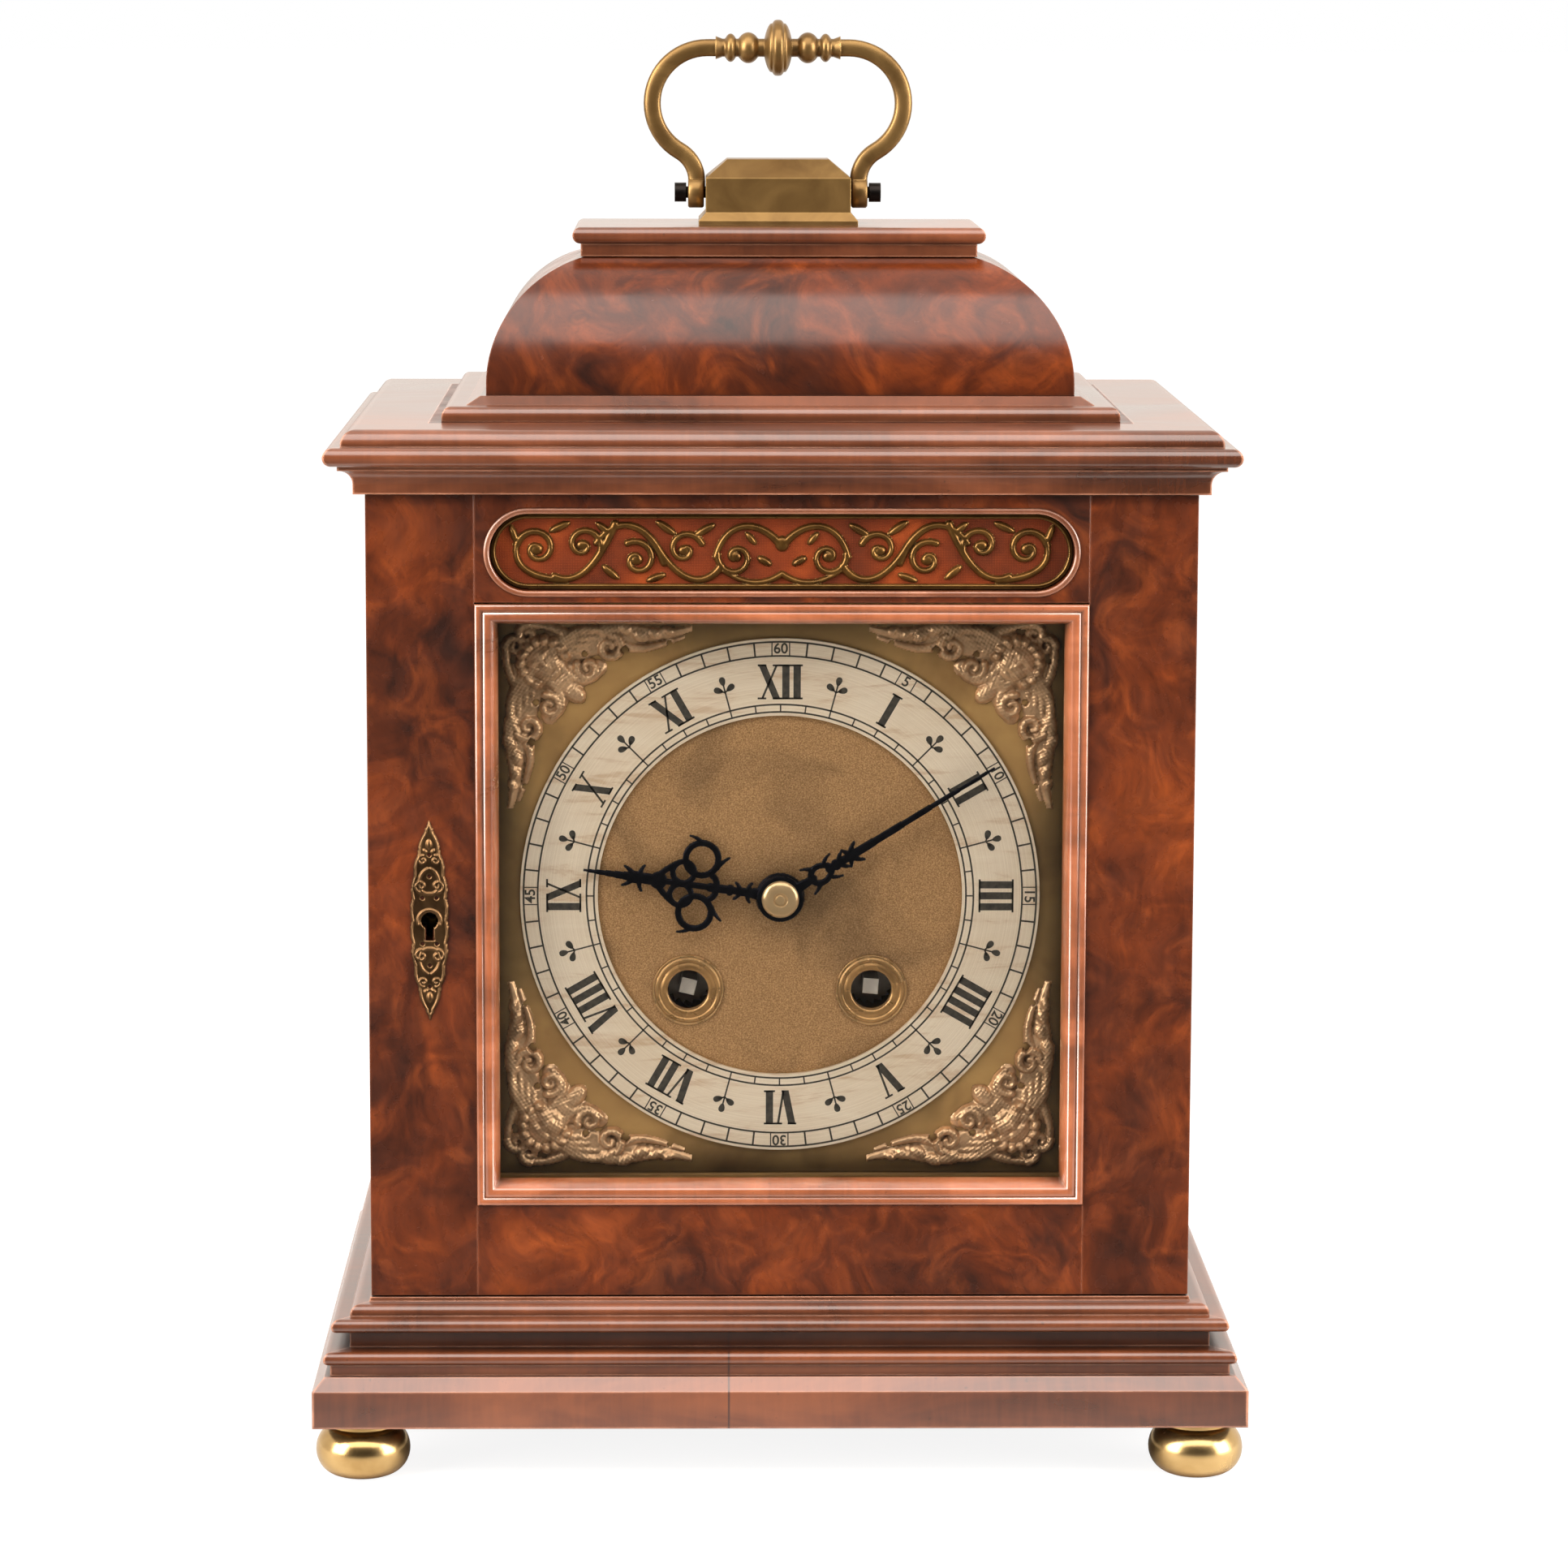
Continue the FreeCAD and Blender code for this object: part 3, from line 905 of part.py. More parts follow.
def make_hands():
    thick, wire = num("hand_thickness"), num("hand_wire")
    boss = num("hand_boss")
    spot, spread, loop = num("hour_loop_place"), num("hour_loop_spread"), num("hour_loop_radius")
    tip = num("hour_hand_length")
    pieces = [flat_disc(boss, 0, 0, thick), blade(boss - 1, spot - 5, 2.4, 1.9, thick),
              flat_bar([(-2.6, boss + 3), (2.6, boss + 3), (2.0, boss + 4.6), (-2.0, boss + 4.6)], thick),
              blade(spot - 5, spot + 12, 1.9, 1.5, thick), blade(spot + 11, tip, 3.0, 0.5, thick),
              flat_ring(2.6, 0.9, 0, spot + 9.4, thick)]
    for side in (-1, 1):
        pieces += [flat_ring(loop, wire, side * spread, spot - 1.5, thick),
                   flat_ring(loop * 0.62, wire * 0.85, side * spread * 0.36, spot + 3.2, thick),
                   flat_disc(1.0, side * (spread + loop * 0.1), spot - 1.5 - loop, thick),
                   flat_disc(0.9, side * 2.4, spot + 12.2, thick),
                   flat_bar([(0, spot + 11.4), (side * 2.6, spot + 11.6), (side * 2.6, spot + 12.8),
                             (0, spot + 13.4)], thick),
                   flat_bar([(0, spot - 6.6), (side * spread, spot - 4.6), (side * spread, spot - 5.8),
                             (0, spot - 8.0)], thick)]
    hour = pieces[0].multiFuse(pieces[1:]).cut(flat_disc(num("hour_pipe_radius"), 0, 0, thick))
    place_hand(hour, "hour_hand", HOUR_BACK, "hour_hand_angle")
    spot, loop, tip = num("minute_loop_place"), num("minute_loop_radius"), num("minute_hand_length")
    pieces = [flat_disc(boss - 0.6, 0, 0, thick), blade(boss - 2, spot - 2, 2.2, 1.8, thick),
              blade(spot - 2, spot + 12, 1.3, 1.9, thick), blade(spot + 11, tip, 2.2, 0.5, thick),
              flat_bar([(-1.9, spot + 9), (1.9, spot + 9), (1.4, spot + 10.4), (-1.4, spot + 10.4)], thick)]
    for side in (-1, 1):
        pieces += [flat_ring(loop, wire * 0.8, side * (loop - wire * 0.45), spot, thick),
                   flat_ring(loop * 0.6, wire * 0.7, side * loop * 0.5, spot + 3.9, thick)]
    minute = pieces[0].multiFuse(pieces[1:]).cut(flat_disc(num("cannon_radius"), 0, 0, thick))
    place_hand(minute, "minute_hand", MINUTE_BACK, "minute_hand_angle")
    r, h = "collet_radius", "collet_height"
    steps = [("0", "0"), ("0", "-" + h), ("0.34*" + r, "-" + h), ("0.42*" + r, "-0.72*" + h),
             ("0.8*" + r, "-0.5*" + h), (r, "-0.2*" + h), (r, "0")]
    node(place(turned("collet", "XY", steps), "0", "%s - hand_thickness" % MINUTE_BACK, DIAL_Z),
         "hand_collet")


def place_hand(shape, label, back, angle):
    hand = solid(label + "_blade", shape.removeSplitter())
    hand.Placement.Rotation = FreeCAD.Rotation(FreeCAD.Vector(0, 1, 0), num(angle))
    node(place(hand, "0", back, DIAL_Z), label)


# ---- wheels and pinions, drawn about the dial centre ----

ROOT_DEPTH, TIP_HEIGHT = 1.1, 0.62      # in modules below and above the pitch circle
ROOT_HALF, TIP_HALF = 0.27, 0.12        # half widths of a tooth, as shares of the pitch


def teeth_shape(teeth, radius, phase, x, z, y, thick):
    module, pitch = 2 * radius / teeth, 2 * math.pi / teeth
    flank = [(radius - ROOT_DEPTH * module, -ROOT_HALF), (radius + TIP_HEIGHT * module, -TIP_HALF),
             (radius + TIP_HEIGHT * module, TIP_HALF), (radius - ROOT_DEPTH * module, ROOT_HALF)]
    return polygon_disc([(r, phase + (k + share) * pitch) for k in range(teeth) for r, share in flank],
                        x, z, y, thick)


def pointed_shape(teeth, radius, depth, lean, x, z, y, thick):
    # pointed teeth that lean one way, as on an escape wheel or a ratchet
    pitch = 2 * math.pi / teeth
    points = []
    for k in range(teeth):
        points += [(radius, k * pitch), (radius - depth, (k + lean) * pitch)]
    return polygon_disc(points, x, z, y, thick)


def polygon_disc(points, x, z, y, thick):
    corners = [FreeCAD.Vector(x + r * math.cos(a), y, z + r * math.sin(a)) for r, a in points]
    return Part.Face(Part.makePolygon(corners + corners[:1])).extrude(FreeCAD.Vector(0, thick, 0))


def post(radius, x, z, y, length):
    return Part.makeCylinder(radius, length, FreeCAD.Vector(x, y, z), FreeCAD.Vector(0, 1, 0))


def sided_post(radius, x, z, y, length, sides):
    return polygon_disc([(radius, 2 * math.pi * (k + 0.5) / sides) for k in range(sides)], x, z, y, length)


def crossings(radius, x, z, y, thick, spokes=5):
    # the windows between the spokes of a wheel
    rim, hub, width = radius - num("rim_width"), num("hub_radius"), num("spoke_width")
    windows = sided_post(rim, x, z, y, thick, 30).cut(sided_post(hub, x, z, y, thick, 15))
    bars = []
    for k in range(spokes):
        bar = Part.makeBox(rim, thick, width, FreeCAD.Vector(x, y, z - width / 2))
        bar.rotate(FreeCAD.Vector(x, y, z), FreeCAD.Vector(0, 1, 0), 360.0 * k / spokes)
        bars.append(bar)
    return windows.cut(bars)


def mesh_phase(theta, phase, teeth, other_teeth):
    # turn of a wheel whose gap faces a tooth of its driver, the driver lying the other way from theta
    return theta + math.pi - (phase - theta) * teeth / other_teeth + math.pi / other_teeth


def direction(start, end):
    return math.atan2(end[1] - start[1], end[0] - start[0])


def arbor(x, z, radius, back_radius=None):
    # a wheel's arbor between the plates, its two pivots running in their holes
    shake, plate, pivot = num("end_shake"), num("plate_thickness"), num("train_pivot")
    front, spacing = num(TRAIN_FRONT), num("plate_spacing")
    body = post(radius, x, z, front + shake, spacing - 2 * shake)
    return body.fuse(post(pivot, x, z, front - plate + 0.2, plate + spacing - 2 * shake + plate + 0.2))


def train_places():
    great, first = num("great_radius"), num("first_pinion_teeth") / num("great_teeth")
    going = (num("winding_x"), -num("winding_drop"))
    reach, inner = great * (1 + first), num("intermediate_radius") * (1 + num("centre_pinion_teeth")
                                                                     / num("intermediate_teeth"))
    span = math.hypot(*going)
    along = (reach ** 2 - inner ** 2 + span ** 2) / (2 * span)
    aside = math.sqrt(reach ** 2 - along ** 2)
    unit = (-going[0] / span, -going[1] / span)
    middle = (going[0] + along * unit[0] + aside * unit[1], going[1] + along * unit[1] - aside * unit[0])
    lean, step = math.radians(num("third_lean")), num("centre_third_distance")
    third = (-step * math.sin(lean), step * math.cos(lean))
    escape = (0.0, third[1] + math.sqrt(num("third_escape_distance") ** 2 - third[0] ** 2))
    pin = (-num("pin_wheel_x"), going[1] + math.sqrt(reach ** 2 - (num("pin_wheel_x") - going[0]) ** 2))
    return {"going": going, "strike": (-going[0], going[1]), "centre": (0.0, 0.0),
            "intermediate": middle, "third": third, "escape": escape, "pin": pin,
            "pallet": (0.0, num("pendulum_rise")), "hammer": (-hammer_place(), num("hammer_rise"))}


def hammer_place():
    left = num("gong_first_radius") + (num("gong_half_turns") / 2 - 1) * num("gong_pitch")
    return left + num("gong_wire") / 2 + num("hammer_gap") + num("hammer_head_length") / 2


def dial_node(shape, label):
    feature = solid(label + "_shape", shape)
    return node(place(feature, "0", "0", DIAL_Z), label)


def make_plates():
    spots = train_places()
    left, right = "-plate_width/2", "plate_width/2"
    low, high = "(%s - plate_drop)" % DIAL_Z, "(%s - plate_drop + plate_height)" % DIAL_Z
    pivot, fit = num("pivot_hole"), num("running_fit")
    radii = {"going": num("winding_arbor") + fit, "strike": num("winding_arbor") + fit,
             "centre": num("centre_arbor") + fit}
    for label, y, through in (("movement_front_plate", PLATE_FRONT, ()),
                              ("movement_back_plate", TRAIN_BACK, ("pallet", "hammer"))):
        board = prism(label + "_sheet", "XZ", rectangle(left, low, right, high), y, "plate_thickness")
        holes = []
        for name, (x, z) in spots.items():
            radius = num("train_arbor") + fit if name in through else radii.get(name, pivot)
            holes.append(post(radius, x, z, num(y), num("plate_thickness")))
        drill = place(solid(label + "_pivot_holes", Part.makeCompound(holes)), "0", "0", DIAL_Z)
        plate = cut(label + "_drilled", board, drill)
        if through:
            inset = "pillar_inset"
            pillars = [rod("pillar_%d" % i, "y", x, TRAIN_FRONT, z, "pillar_radius", "plate_spacing")
                       for i, (x, z) in enumerate(
                           [("%s + %s" % (left, inset), "%s + %s" % (low, inset)),
                            ("%s - %s" % (right, inset), "%s + %s" % (low, inset)),
                            ("%s + %s" % (left, inset), "%s - %s" % (high, inset)),
                            ("%s - %s" % (right, inset), "%s - %s" % (high, inset))])]
            plate = join(label + "_with_pillars", plate, *pillars)
        else:
            stud = rod("motion_stud", "y", "0", "%s - hour_wheel_level - 2" % PLATE_FRONT,
                       "%s - motion_module*(cannon_teeth + minute_wheel_teeth)/2" % DIAL_Z,
                       "stud_radius", "hour_wheel_level + 2")
            plate = join(label + "_with_stud", plate, stud)
        node(plate, label)


def make_going_train():
    spots = train_places()
    front = num(TRAIN_FRONT)
    thick, gap = num("wheel_thickness"), 1.0
    great_n, first_n = int(num("great_teeth")), int(num("first_pinion_teeth"))
    mid_n, leaf_n = int(num("intermediate_teeth")), int(num("centre_pinion_teeth"))
    great_r, mid_r = num("great_radius"), num("intermediate_radius")
    phases = {"great": 0.0}
    to_mid = direction(spots["going"], spots["intermediate"])
    phases["first"] = mesh_phase(to_mid, 0.0, great_n, first_n)
    x, z = spots["intermediate"]
    level = front + num("intermediate_level")
    wheel = teeth_shape(mid_n, mid_r, 0.0, x, z, level, thick).cut(crossings(mid_r, x, z, level, thick))
    pinion = teeth_shape(first_n, great_r * first_n / great_n, phases["first"], x, z,
                         front + num("great_level") - gap / 2, num("great_thickness") + gap)
    dial_node(wheel.multiFuse([pinion, arbor(x, z, num("train_arbor"))]), "intermediate_wheel")
    to_centre = direction(spots["intermediate"], (0.0, 0.0))
    centre_phase = mesh_phase(to_centre, 0.0, mid_n, leaf_n)
    wheel_n, third_leaf = int(num("centre_wheel_teeth")), int(num("third_pinion_teeth"))
    wheel_r = num("centre_third_distance") * wheel_n / (wheel_n + third_leaf)
    level = front + num("centre_wheel_level")
    centre = teeth_shape(wheel_n, wheel_r, 0.0, 0, 0, level, thick).cut(
        crossings(wheel_r, 0, 0, level, thick))
    leaves = teeth_shape(leaf_n, mid_r * leaf_n / mid_n, centre_phase, 0, 0,
                         front + num("intermediate_level") - gap, thick + 2 * gap)
    start = num(MINUTE_BACK) - num("hand_thickness")
    axle = post(num("centre_arbor"), 0, 0, start, num(MOVEMENT_BACK) - 0.2 - start)
    dial_node(centre.multiFuse([leaves, axle]), "centre_wheel")
    x, z = spots["third"]
    to_third = direction((0.0, 0.0), (x, z))
    third_n, escape_leaf = int(num("third_teeth")), int(num("escape_pinion_teeth"))
    third_r = num("third_escape_distance") * third_n / (third_n + escape_leaf)
    pinion = teeth_shape(third_leaf, wheel_r * third_leaf / wheel_n,
                         mesh_phase(to_third, 0.0, wheel_n, third_leaf), x, z, level - gap,
                         thick + 2 * gap)
    level = front + num("third_level")
    wheel = teeth_shape(third_n, third_r, 0.0, x, z, level, thick).cut(
        crossings(third_r, x, z, level, thick))
    dial_node(wheel.multiFuse([pinion, arbor(x, z, 0.9)]), "third_wheel")
    to_escape = direction((x, z), spots["escape"])
    x, z = spots["escape"]
    pinion = teeth_shape(escape_leaf, third_r * escape_leaf / third_n,
                         mesh_phase(to_escape, 0.0, third_n, escape_leaf), x, z, level - gap,
                         thick + 2 * gap)
    level, radius = front + num("escape_level"), num("escape_radius")
    wheel = pointed_shape(int(num("escape_teeth")), radius, 1.6, 0.35, x, z, level, thick * 0.7)
    wheel = wheel.cut(crossings(radius - 0.6, x, z, level, thick * 0.7))
    dial_node(wheel.multiFuse([pinion, arbor(x, z, 0.9)]), "escape_wheel")
    for label, name in (("going_barrel", "going"), ("strike_barrel", "strike")):
        make_barrel(label, spots[name])
    make_pin_wheel(spots)


def make_barrel(label, spot):
    x, z = spot
    front = num(TRAIN_FRONT)
    drum = post(num("barrel_radius"), x, z, front + num("barrel_level"), num("barrel_length"))
    great = teeth_shape(int(num("great_teeth")), num("great_radius"), 0.0, x, z,
                        front + num("great_level"), num("great_thickness"))
    bore = post(num("winding_arbor + running_fit"), x, z, front, num("plate_spacing"))
    lid = post(num("barrel_radius") - 1.6, x, z, front + num("barrel_level"), 0.8)
    cap = post(num("barrel_radius") - 6.0, x, z, front + num("barrel_level"), 0.8)
    dial_node(drum.fuse(great).cut([bore, lid.cut(cap)]), label)
    square, depth = num("winding_square"), num("winding_square_length")
    start = num(DIAL_BACK) + num("winding_square_depth")
    shaft = post(num("winding_arbor"), x, z, start + depth, num(MOVEMENT_BACK) - 0.2 - start - depth)
    key_end = Part.makeBox(square, depth, square, FreeCAD.Vector(x - square / 2, start, z - square / 2))
    key_end.rotate(FreeCAD.Vector(x, start, z), FreeCAD.Vector(0, 1, 0), 14 if x < 0 else 5)
    ratchet = pointed_shape(18, 7.0, 1.2, 0.2, x, z, num(PLATE_FRONT) - 2.2, 1.8)
    dial_node(shaft.multiFuse([key_end, ratchet]), label.replace("barrel", "winding_arbor"))


def make_pin_wheel(spots):
    x, z = spots["pin"]
    front, thick = num(TRAIN_FRONT), num("wheel_thickness")
    great_n, first_n = int(num("great_teeth")), int(num("first_pinion_teeth"))
    phase = mesh_phase(direction(spots["strike"], (x, z)), 0.0, great_n, first_n)
    level, radius = front + num("intermediate_level"), num("pin_wheel_radius")
    wheel = teeth_shape(int(num("pin_wheel_teeth")), radius, 0.0, x, z, level, thick)
    wheel = wheel.cut(crossings(radius - 2.2, x, z, level, thick, 4))
    pinion = teeth_shape(first_n, num("great_radius") * first_n / great_n, phase, x, z,
                         front + num("great_level") - 0.5, num("great_thickness") + 1)
    pins = []
    for k in range(int(num("pin_count"))):
        angle = 2 * math.pi * (k + 0.5) / num("pin_count")
        pins.append(sided_post(num("pin_radius"), x + num("pin_circle") * math.cos(angle),
                               z + num("pin_circle") * math.sin(angle), level - num("pin_length"),
                               num("pin_length") + thick, 8))
    dial_node(wheel.multiFuse([pinion, arbor(x, z, num("train_arbor"))] + pins), "strike_pin_wheel")


def make_motion_work():
    module, plate, thick = num("motion_module"), num(PLATE_FRONT), num("motion_thickness")
    counts = [int(num(name)) for name in ("cannon_teeth", "minute_wheel_teeth", "minute_pinion_teeth",
                                         "hour_wheel_teeth")]
    cannon_r, minute_r, pinion_r, hour_r = [module * count / 2 for count in counts]
    below = -(cannon_r + minute_r)
    down, up = -math.pi / 2, math.pi / 2
    minute_y = plate - num("minute_wheel_level") - thick
    hour_y = plate - num("hour_wheel_level") - thick
    minute_end = num(MINUTE_BACK) - num("hand_thickness")
    cannon = teeth_shape(counts[0], cannon_r, 0.0, 0, 0, minute_y - 0.4, thick + 0.8)
    pipe = post(num("cannon_radius"), 0, 0, minute_end, minute_y + thick + 0.4 - minute_end)
    bore = post(num("centre_arbor") + 0.01, 0, 0, minute_end, 40)
    dial_node(cannon.fuse(pipe).cut(bore), "cannon_pinion")
    wheel = teeth_shape(counts[1], minute_r, mesh_phase(down, 0.0, counts[0], counts[1]), 0, below,
                        minute_y, thick)
    pinion = teeth_shape(counts[2], pinion_r, 0.0, 0, below, hour_y - 0.4, minute_y - hour_y + 0.4)
    stud = post(num("stud_radius + running_fit"), 0, below, hour_y - 2, plate - hour_y + 2)
    dial_node(wheel.fuse(pinion).cut(stud), "minute_wheel")
    wheel = teeth_shape(counts[3], hour_r, mesh_phase(up, 0.0, counts[2], counts[3]), 0, 0, hour_y, thick)
    wheel = wheel.cut(crossings(hour_r, 0, 0, hour_y, thick, 4))
    hour_end = num(HOUR_BACK) - num("hand_thickness")
    pipe = post(num("hour_pipe_radius"), 0, 0, hour_end, hour_y + thick - hour_end)
    bore = post(num("cannon_radius + running_fit"), 0, 0, hour_end, hour_y + thick - hour_end)
    dial_node(wheel.fuse(pipe).cut(bore), "hour_wheel")


# ---- pendulum, hammer, gong and seat ----

PENDULUM_Y = "(%s + pendulum_plane)" % MOVEMENT_BACK
GONG_Y = "(%s + gong_plane)" % MOVEMENT_BACK
GONG_Z = "(%s + gong_height)" % FLOOR


def make_pendulum():
    top, y = num("pendulum_rise"), num(PENDULUM_Y)
    bottom = top - num("pendulum_length")
    radius, thick, wire = num("bob_radius"), num("bob_thickness"), num("rod_radius")
    spring = Part.makeBox(0.4, 5.0, 12.0, FreeCAD.Vector(-0.2, y - 2.5, top - 10.0))
    rod_piece = Part.makeCylinder(wire, top - 8.0 - bottom + radius + 5.0,
                                  FreeCAD.Vector(0, y, bottom - radius - 5.0))
    bob = post(radius, 0, bottom, y - thick / 2 + 1.2, thick - 2.4)
    face = Part.makeCone(radius, radius - 3, 1.2, FreeCAD.Vector(0, y + thick / 2 - 1.2, bottom),
                         FreeCAD.Vector(0, 1, 0))
    front = Part.makeCone(radius, radius - 3, 1.2, FreeCAD.Vector(0, y - thick / 2 + 1.2, bottom),
                          FreeCAD.Vector(0, -1, 0))
    nut = Part.makeCylinder(3.0, 2.2, FreeCAD.Vector(0, y, bottom - radius - 3.4))
    dial_node(rod_piece.multiFuse([spring, bob, face, front, nut]), "pendulum")
    cock = block("cock_block", "-cock_width/2", MOVEMENT_BACK, "%s + pendulum_rise + 2.3" % DIAL_Z,
                 "cock_width", "pendulum_plane + 4", "cock_height")
    node(cock, "pendulum_cock")


def make_anchor():
    x, z = 0.0, num("pendulum_rise")
    escape = train_places()["escape"]
    tip = num("escape_radius") + 0.85
    level = num(TRAIN_FRONT) + num("escape_level") - 0.4
    half = math.radians(45)
    toe = (tip * math.sin(half), escape[1] + tip * math.cos(half))
    outline = [(-toe[0] - 1.0, toe[1] + 3.1), (-toe[0], toe[1]), (-toe[0] + 1.3, toe[1] + 2.1),
               (0, z - 1.9), (toe[0] - 1.3, toe[1] + 2.1), toe, (toe[0] + 1.0, toe[1] + 3.1), (0, z + 2.8)]
    corners = [FreeCAD.Vector(px, level, pz) for px, pz in outline]
    anchor = Part.Face(Part.makePolygon(corners + corners[:1])).extrude(FreeCAD.Vector(0, 2.2, 0))
    back, rod_y = num(MOVEMENT_BACK), num(PENDULUM_Y)
    front, shake, plate = num(TRAIN_FRONT), num("end_shake"), num("plate_thickness")
    axle = post(num("train_arbor"), x, z, front + shake, back + 2.4 - front - shake)
    pivot = post(num("train_pivot"), x, z, front - plate + 0.2, plate + 2)
    crutch = Part.makeBox(2.0, 1.2, 34.0, FreeCAD.Vector(-1.0, back + 1.0, z - 33.0))
    prongs = [Part.makeBox(0.9, rod_y - back + 1.6, 2.0, FreeCAD.Vector(px, back + 1.0, z - 33.0))
              for px in (-num("rod_radius") - 1.1, num("rod_radius") + 0.2)]
    bridge = Part.makeBox(2 * num("rod_radius") + 2.2, 1.2, 2.0,
                          FreeCAD.Vector(-num("rod_radius") - 1.1, back + 1.0, z - 33.0))
    dial_node(anchor.multiFuse([axle, pivot, crutch, bridge] + prongs), "pallet_anchor")


def make_hammer():
    x, z = train_places()["hammer"]
    spots = train_places()
    drop = num(DIAL_Z) + z - num(GONG_Z)
    y, fit = num(GONG_Y), num("train_arbor")
    front, shake, plate = num(TRAIN_FRONT), num("end_shake"), num("plate_thickness")
    axle = post(fit, x, z, front + shake, y + 1.4 - front - shake)
    pivot = post(num("train_pivot"), x, z, front - plate + 0.2, plate + 2)
    arm = Part.makeBox(2.4, 2.0, drop, FreeCAD.Vector(x - 1.2, y - 1.0, z - drop))
    length, radius = num("hammer_head_length"), num("hammer_head_radius")
    head = Part.makeCylinder(radius, length, FreeCAD.Vector(x - length / 2, y, z - drop),
                             FreeCAD.Vector(1, 0, 0))
    boss = post(2.6, x, z, y - 2.0, 3.4)
    reach = math.hypot(spots["pin"][0] - x, spots["pin"][1] - z)
    tail_length = reach - num("pin_circle") - num("pin_radius") - 0.8
    level = front + num("intermediate_level") - num("pin_length")
    tail = Part.makeBox(tail_length, 2.0, 1.8, FreeCAD.Vector(x, level, z - 0.9))
    angle = direction((x, z), spots["pin"])
    tail.rotate(FreeCAD.Vector(x, level, z), FreeCAD.Vector(0, 1, 0), -math.degrees(angle))
    collar = post(2.2, x, z, level - 0.6, 3.2)
    dial_node(axle.multiFuse([pivot, arm, head, boss, tail, collar]), "strike_hammer")


def gong_path():
    # half turns about two centres half a pitch apart, then a short straight run down into the stand
    grow, radius, centre = num("gong_pitch") / 2, num("gong_first_radius"), 0.0
    y, z, side = num(GONG_Y), num(GONG_Z), 1
    edges, turns = [], int(num("gong_half_turns"))
    wire = num("gong_wire")
    start = FreeCAD.Vector(radius, y, z)
    edges.append(Part.LineSegment(start + FreeCAD.Vector(0, 0, wire), start).toShape())
    for k in range(turns):
        begin = FreeCAD.Vector(centre + side * radius, y, z)
        middle = FreeCAD.Vector(centre, y, z - side * radius)
        end = FreeCAD.Vector(centre - side * radius, y, z)
        edges.append(Part.Arc(begin, middle, end).toShape())
        side = -side
        centre = end.x - side * (radius + grow)
        radius += grow
    edges.append(Part.LineSegment(end, end - FreeCAD.Vector(0, 0, wire)).toShape())
    return Part.Wire(edges), end


def least_gap(path, wire):
    # smallest distance between points of neighbouring turns, less the wire
    points = path.discretize(240)
    skip = 20
    return min(a.distanceToPoint(b) for i, a in enumerate(points) for b in points[i + skip:]) - wire


def make_gong():
    path, end = gong_path()
    wire = num("gong_wire")
    y = FreeCAD.Vector(0, 1, 0)
    runs = []
    for edge in path.Edges:
        start = edge.valueAt(edge.FirstParameter)
        stop = edge.valueAt(edge.LastParameter)
        low = FreeCAD.Vector(start.x - wire / 2, start.y - wire / 2, min(start.z, stop.z))
        if edge.Curve.TypeId == "Part::GeomLine":
            runs.append(Part.makeBox(wire, wire, edge.Length, low))
            continue
        corners = [low, low + FreeCAD.Vector(wire, 0, 0), low + FreeCAD.Vector(wire, wire, 0),
                   low + FreeCAD.Vector(0, wire, 0), low]
        bottom = edge.valueAt((edge.FirstParameter + edge.LastParameter) / 2).z < start.z
        away = 180 if bottom == (start.x > stop.x) else -180
        runs.append(Part.Face(Part.makePolygon(corners)).revolve(edge.Curve.Center, y, away))
    coil = runs[0].multiFuse(runs[1:])
    print("gong: wire length %.1f mm, least gap between turns %.2f mm" % (path.Length, least_gap(path, wire)))
    node(solid("gong_wire_coil", coil), "gong_coil")
    at = round(end.x, 6)
    post_piece = block("gong_post", "%r - gong_stand_width/2" % at, "%s - 6" % GONG_Y, FLOOR,
                       "gong_stand_width", "12", "gong_height - gong_wire")
    foot = block("gong_foot", "%r - gong_foot_width/2" % at, "%s - 6" % GONG_Y, FLOOR,
                 "gong_foot_width", "12", "gong_foot_height")
    node(join("gong_stand_casting", post_piece, foot), "gong_stand")


def make_seat():
    low, front = "(%s - plate_drop - seat_thickness)" % DIAL_Z, "(%s - seat_margin)" % PLATE_FRONT
    node(block("seat_plank", "-" + INNER_X, front, low, "2*" + INNER_X,
               "%s + 3 - %s" % (MOVEMENT_BACK, front), "seat_thickness"), "seat_board")


def check_and_write():
    doc.recompute()
    for obj in doc.Objects:
        if any(flag in state for state in obj.State for flag in ("Invalid", "Error")):
            raise RuntimeError("%s failed: %s" % (obj.Label, obj.State))
    os.makedirs("parts", exist_ok=True)
    for obj in NODES:
        if obj.Shape.isNull() or not obj.Shape.isValid() or not obj.Shape.Solids:
            raise RuntimeError(obj.Label + " has no sound solid")
        obj.Shape.exportStep("parts/%s.step" % obj.Label)


make_feet()
make_mouldings()
make_carcase()
make_mask()
make_caddy()
make_handle_base()
make_handle()
sight_low, sight_top, slot_z = make_front_door()
make_sight(sight_low, sight_top)
make_fret(slot_z)
make_escutcheon()
make_lock()
make_rear_door()
make_dial()
make_hands()
make_plates()
make_going_train()
make_motion_work()
make_pendulum()
make_anchor()
make_hammer()
make_gong()
make_seat()
check_and_write()
print("%d nodes" % len(NODES))
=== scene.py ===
import math

import bpy
import numpy as np
from mathutils import Matrix, Vector


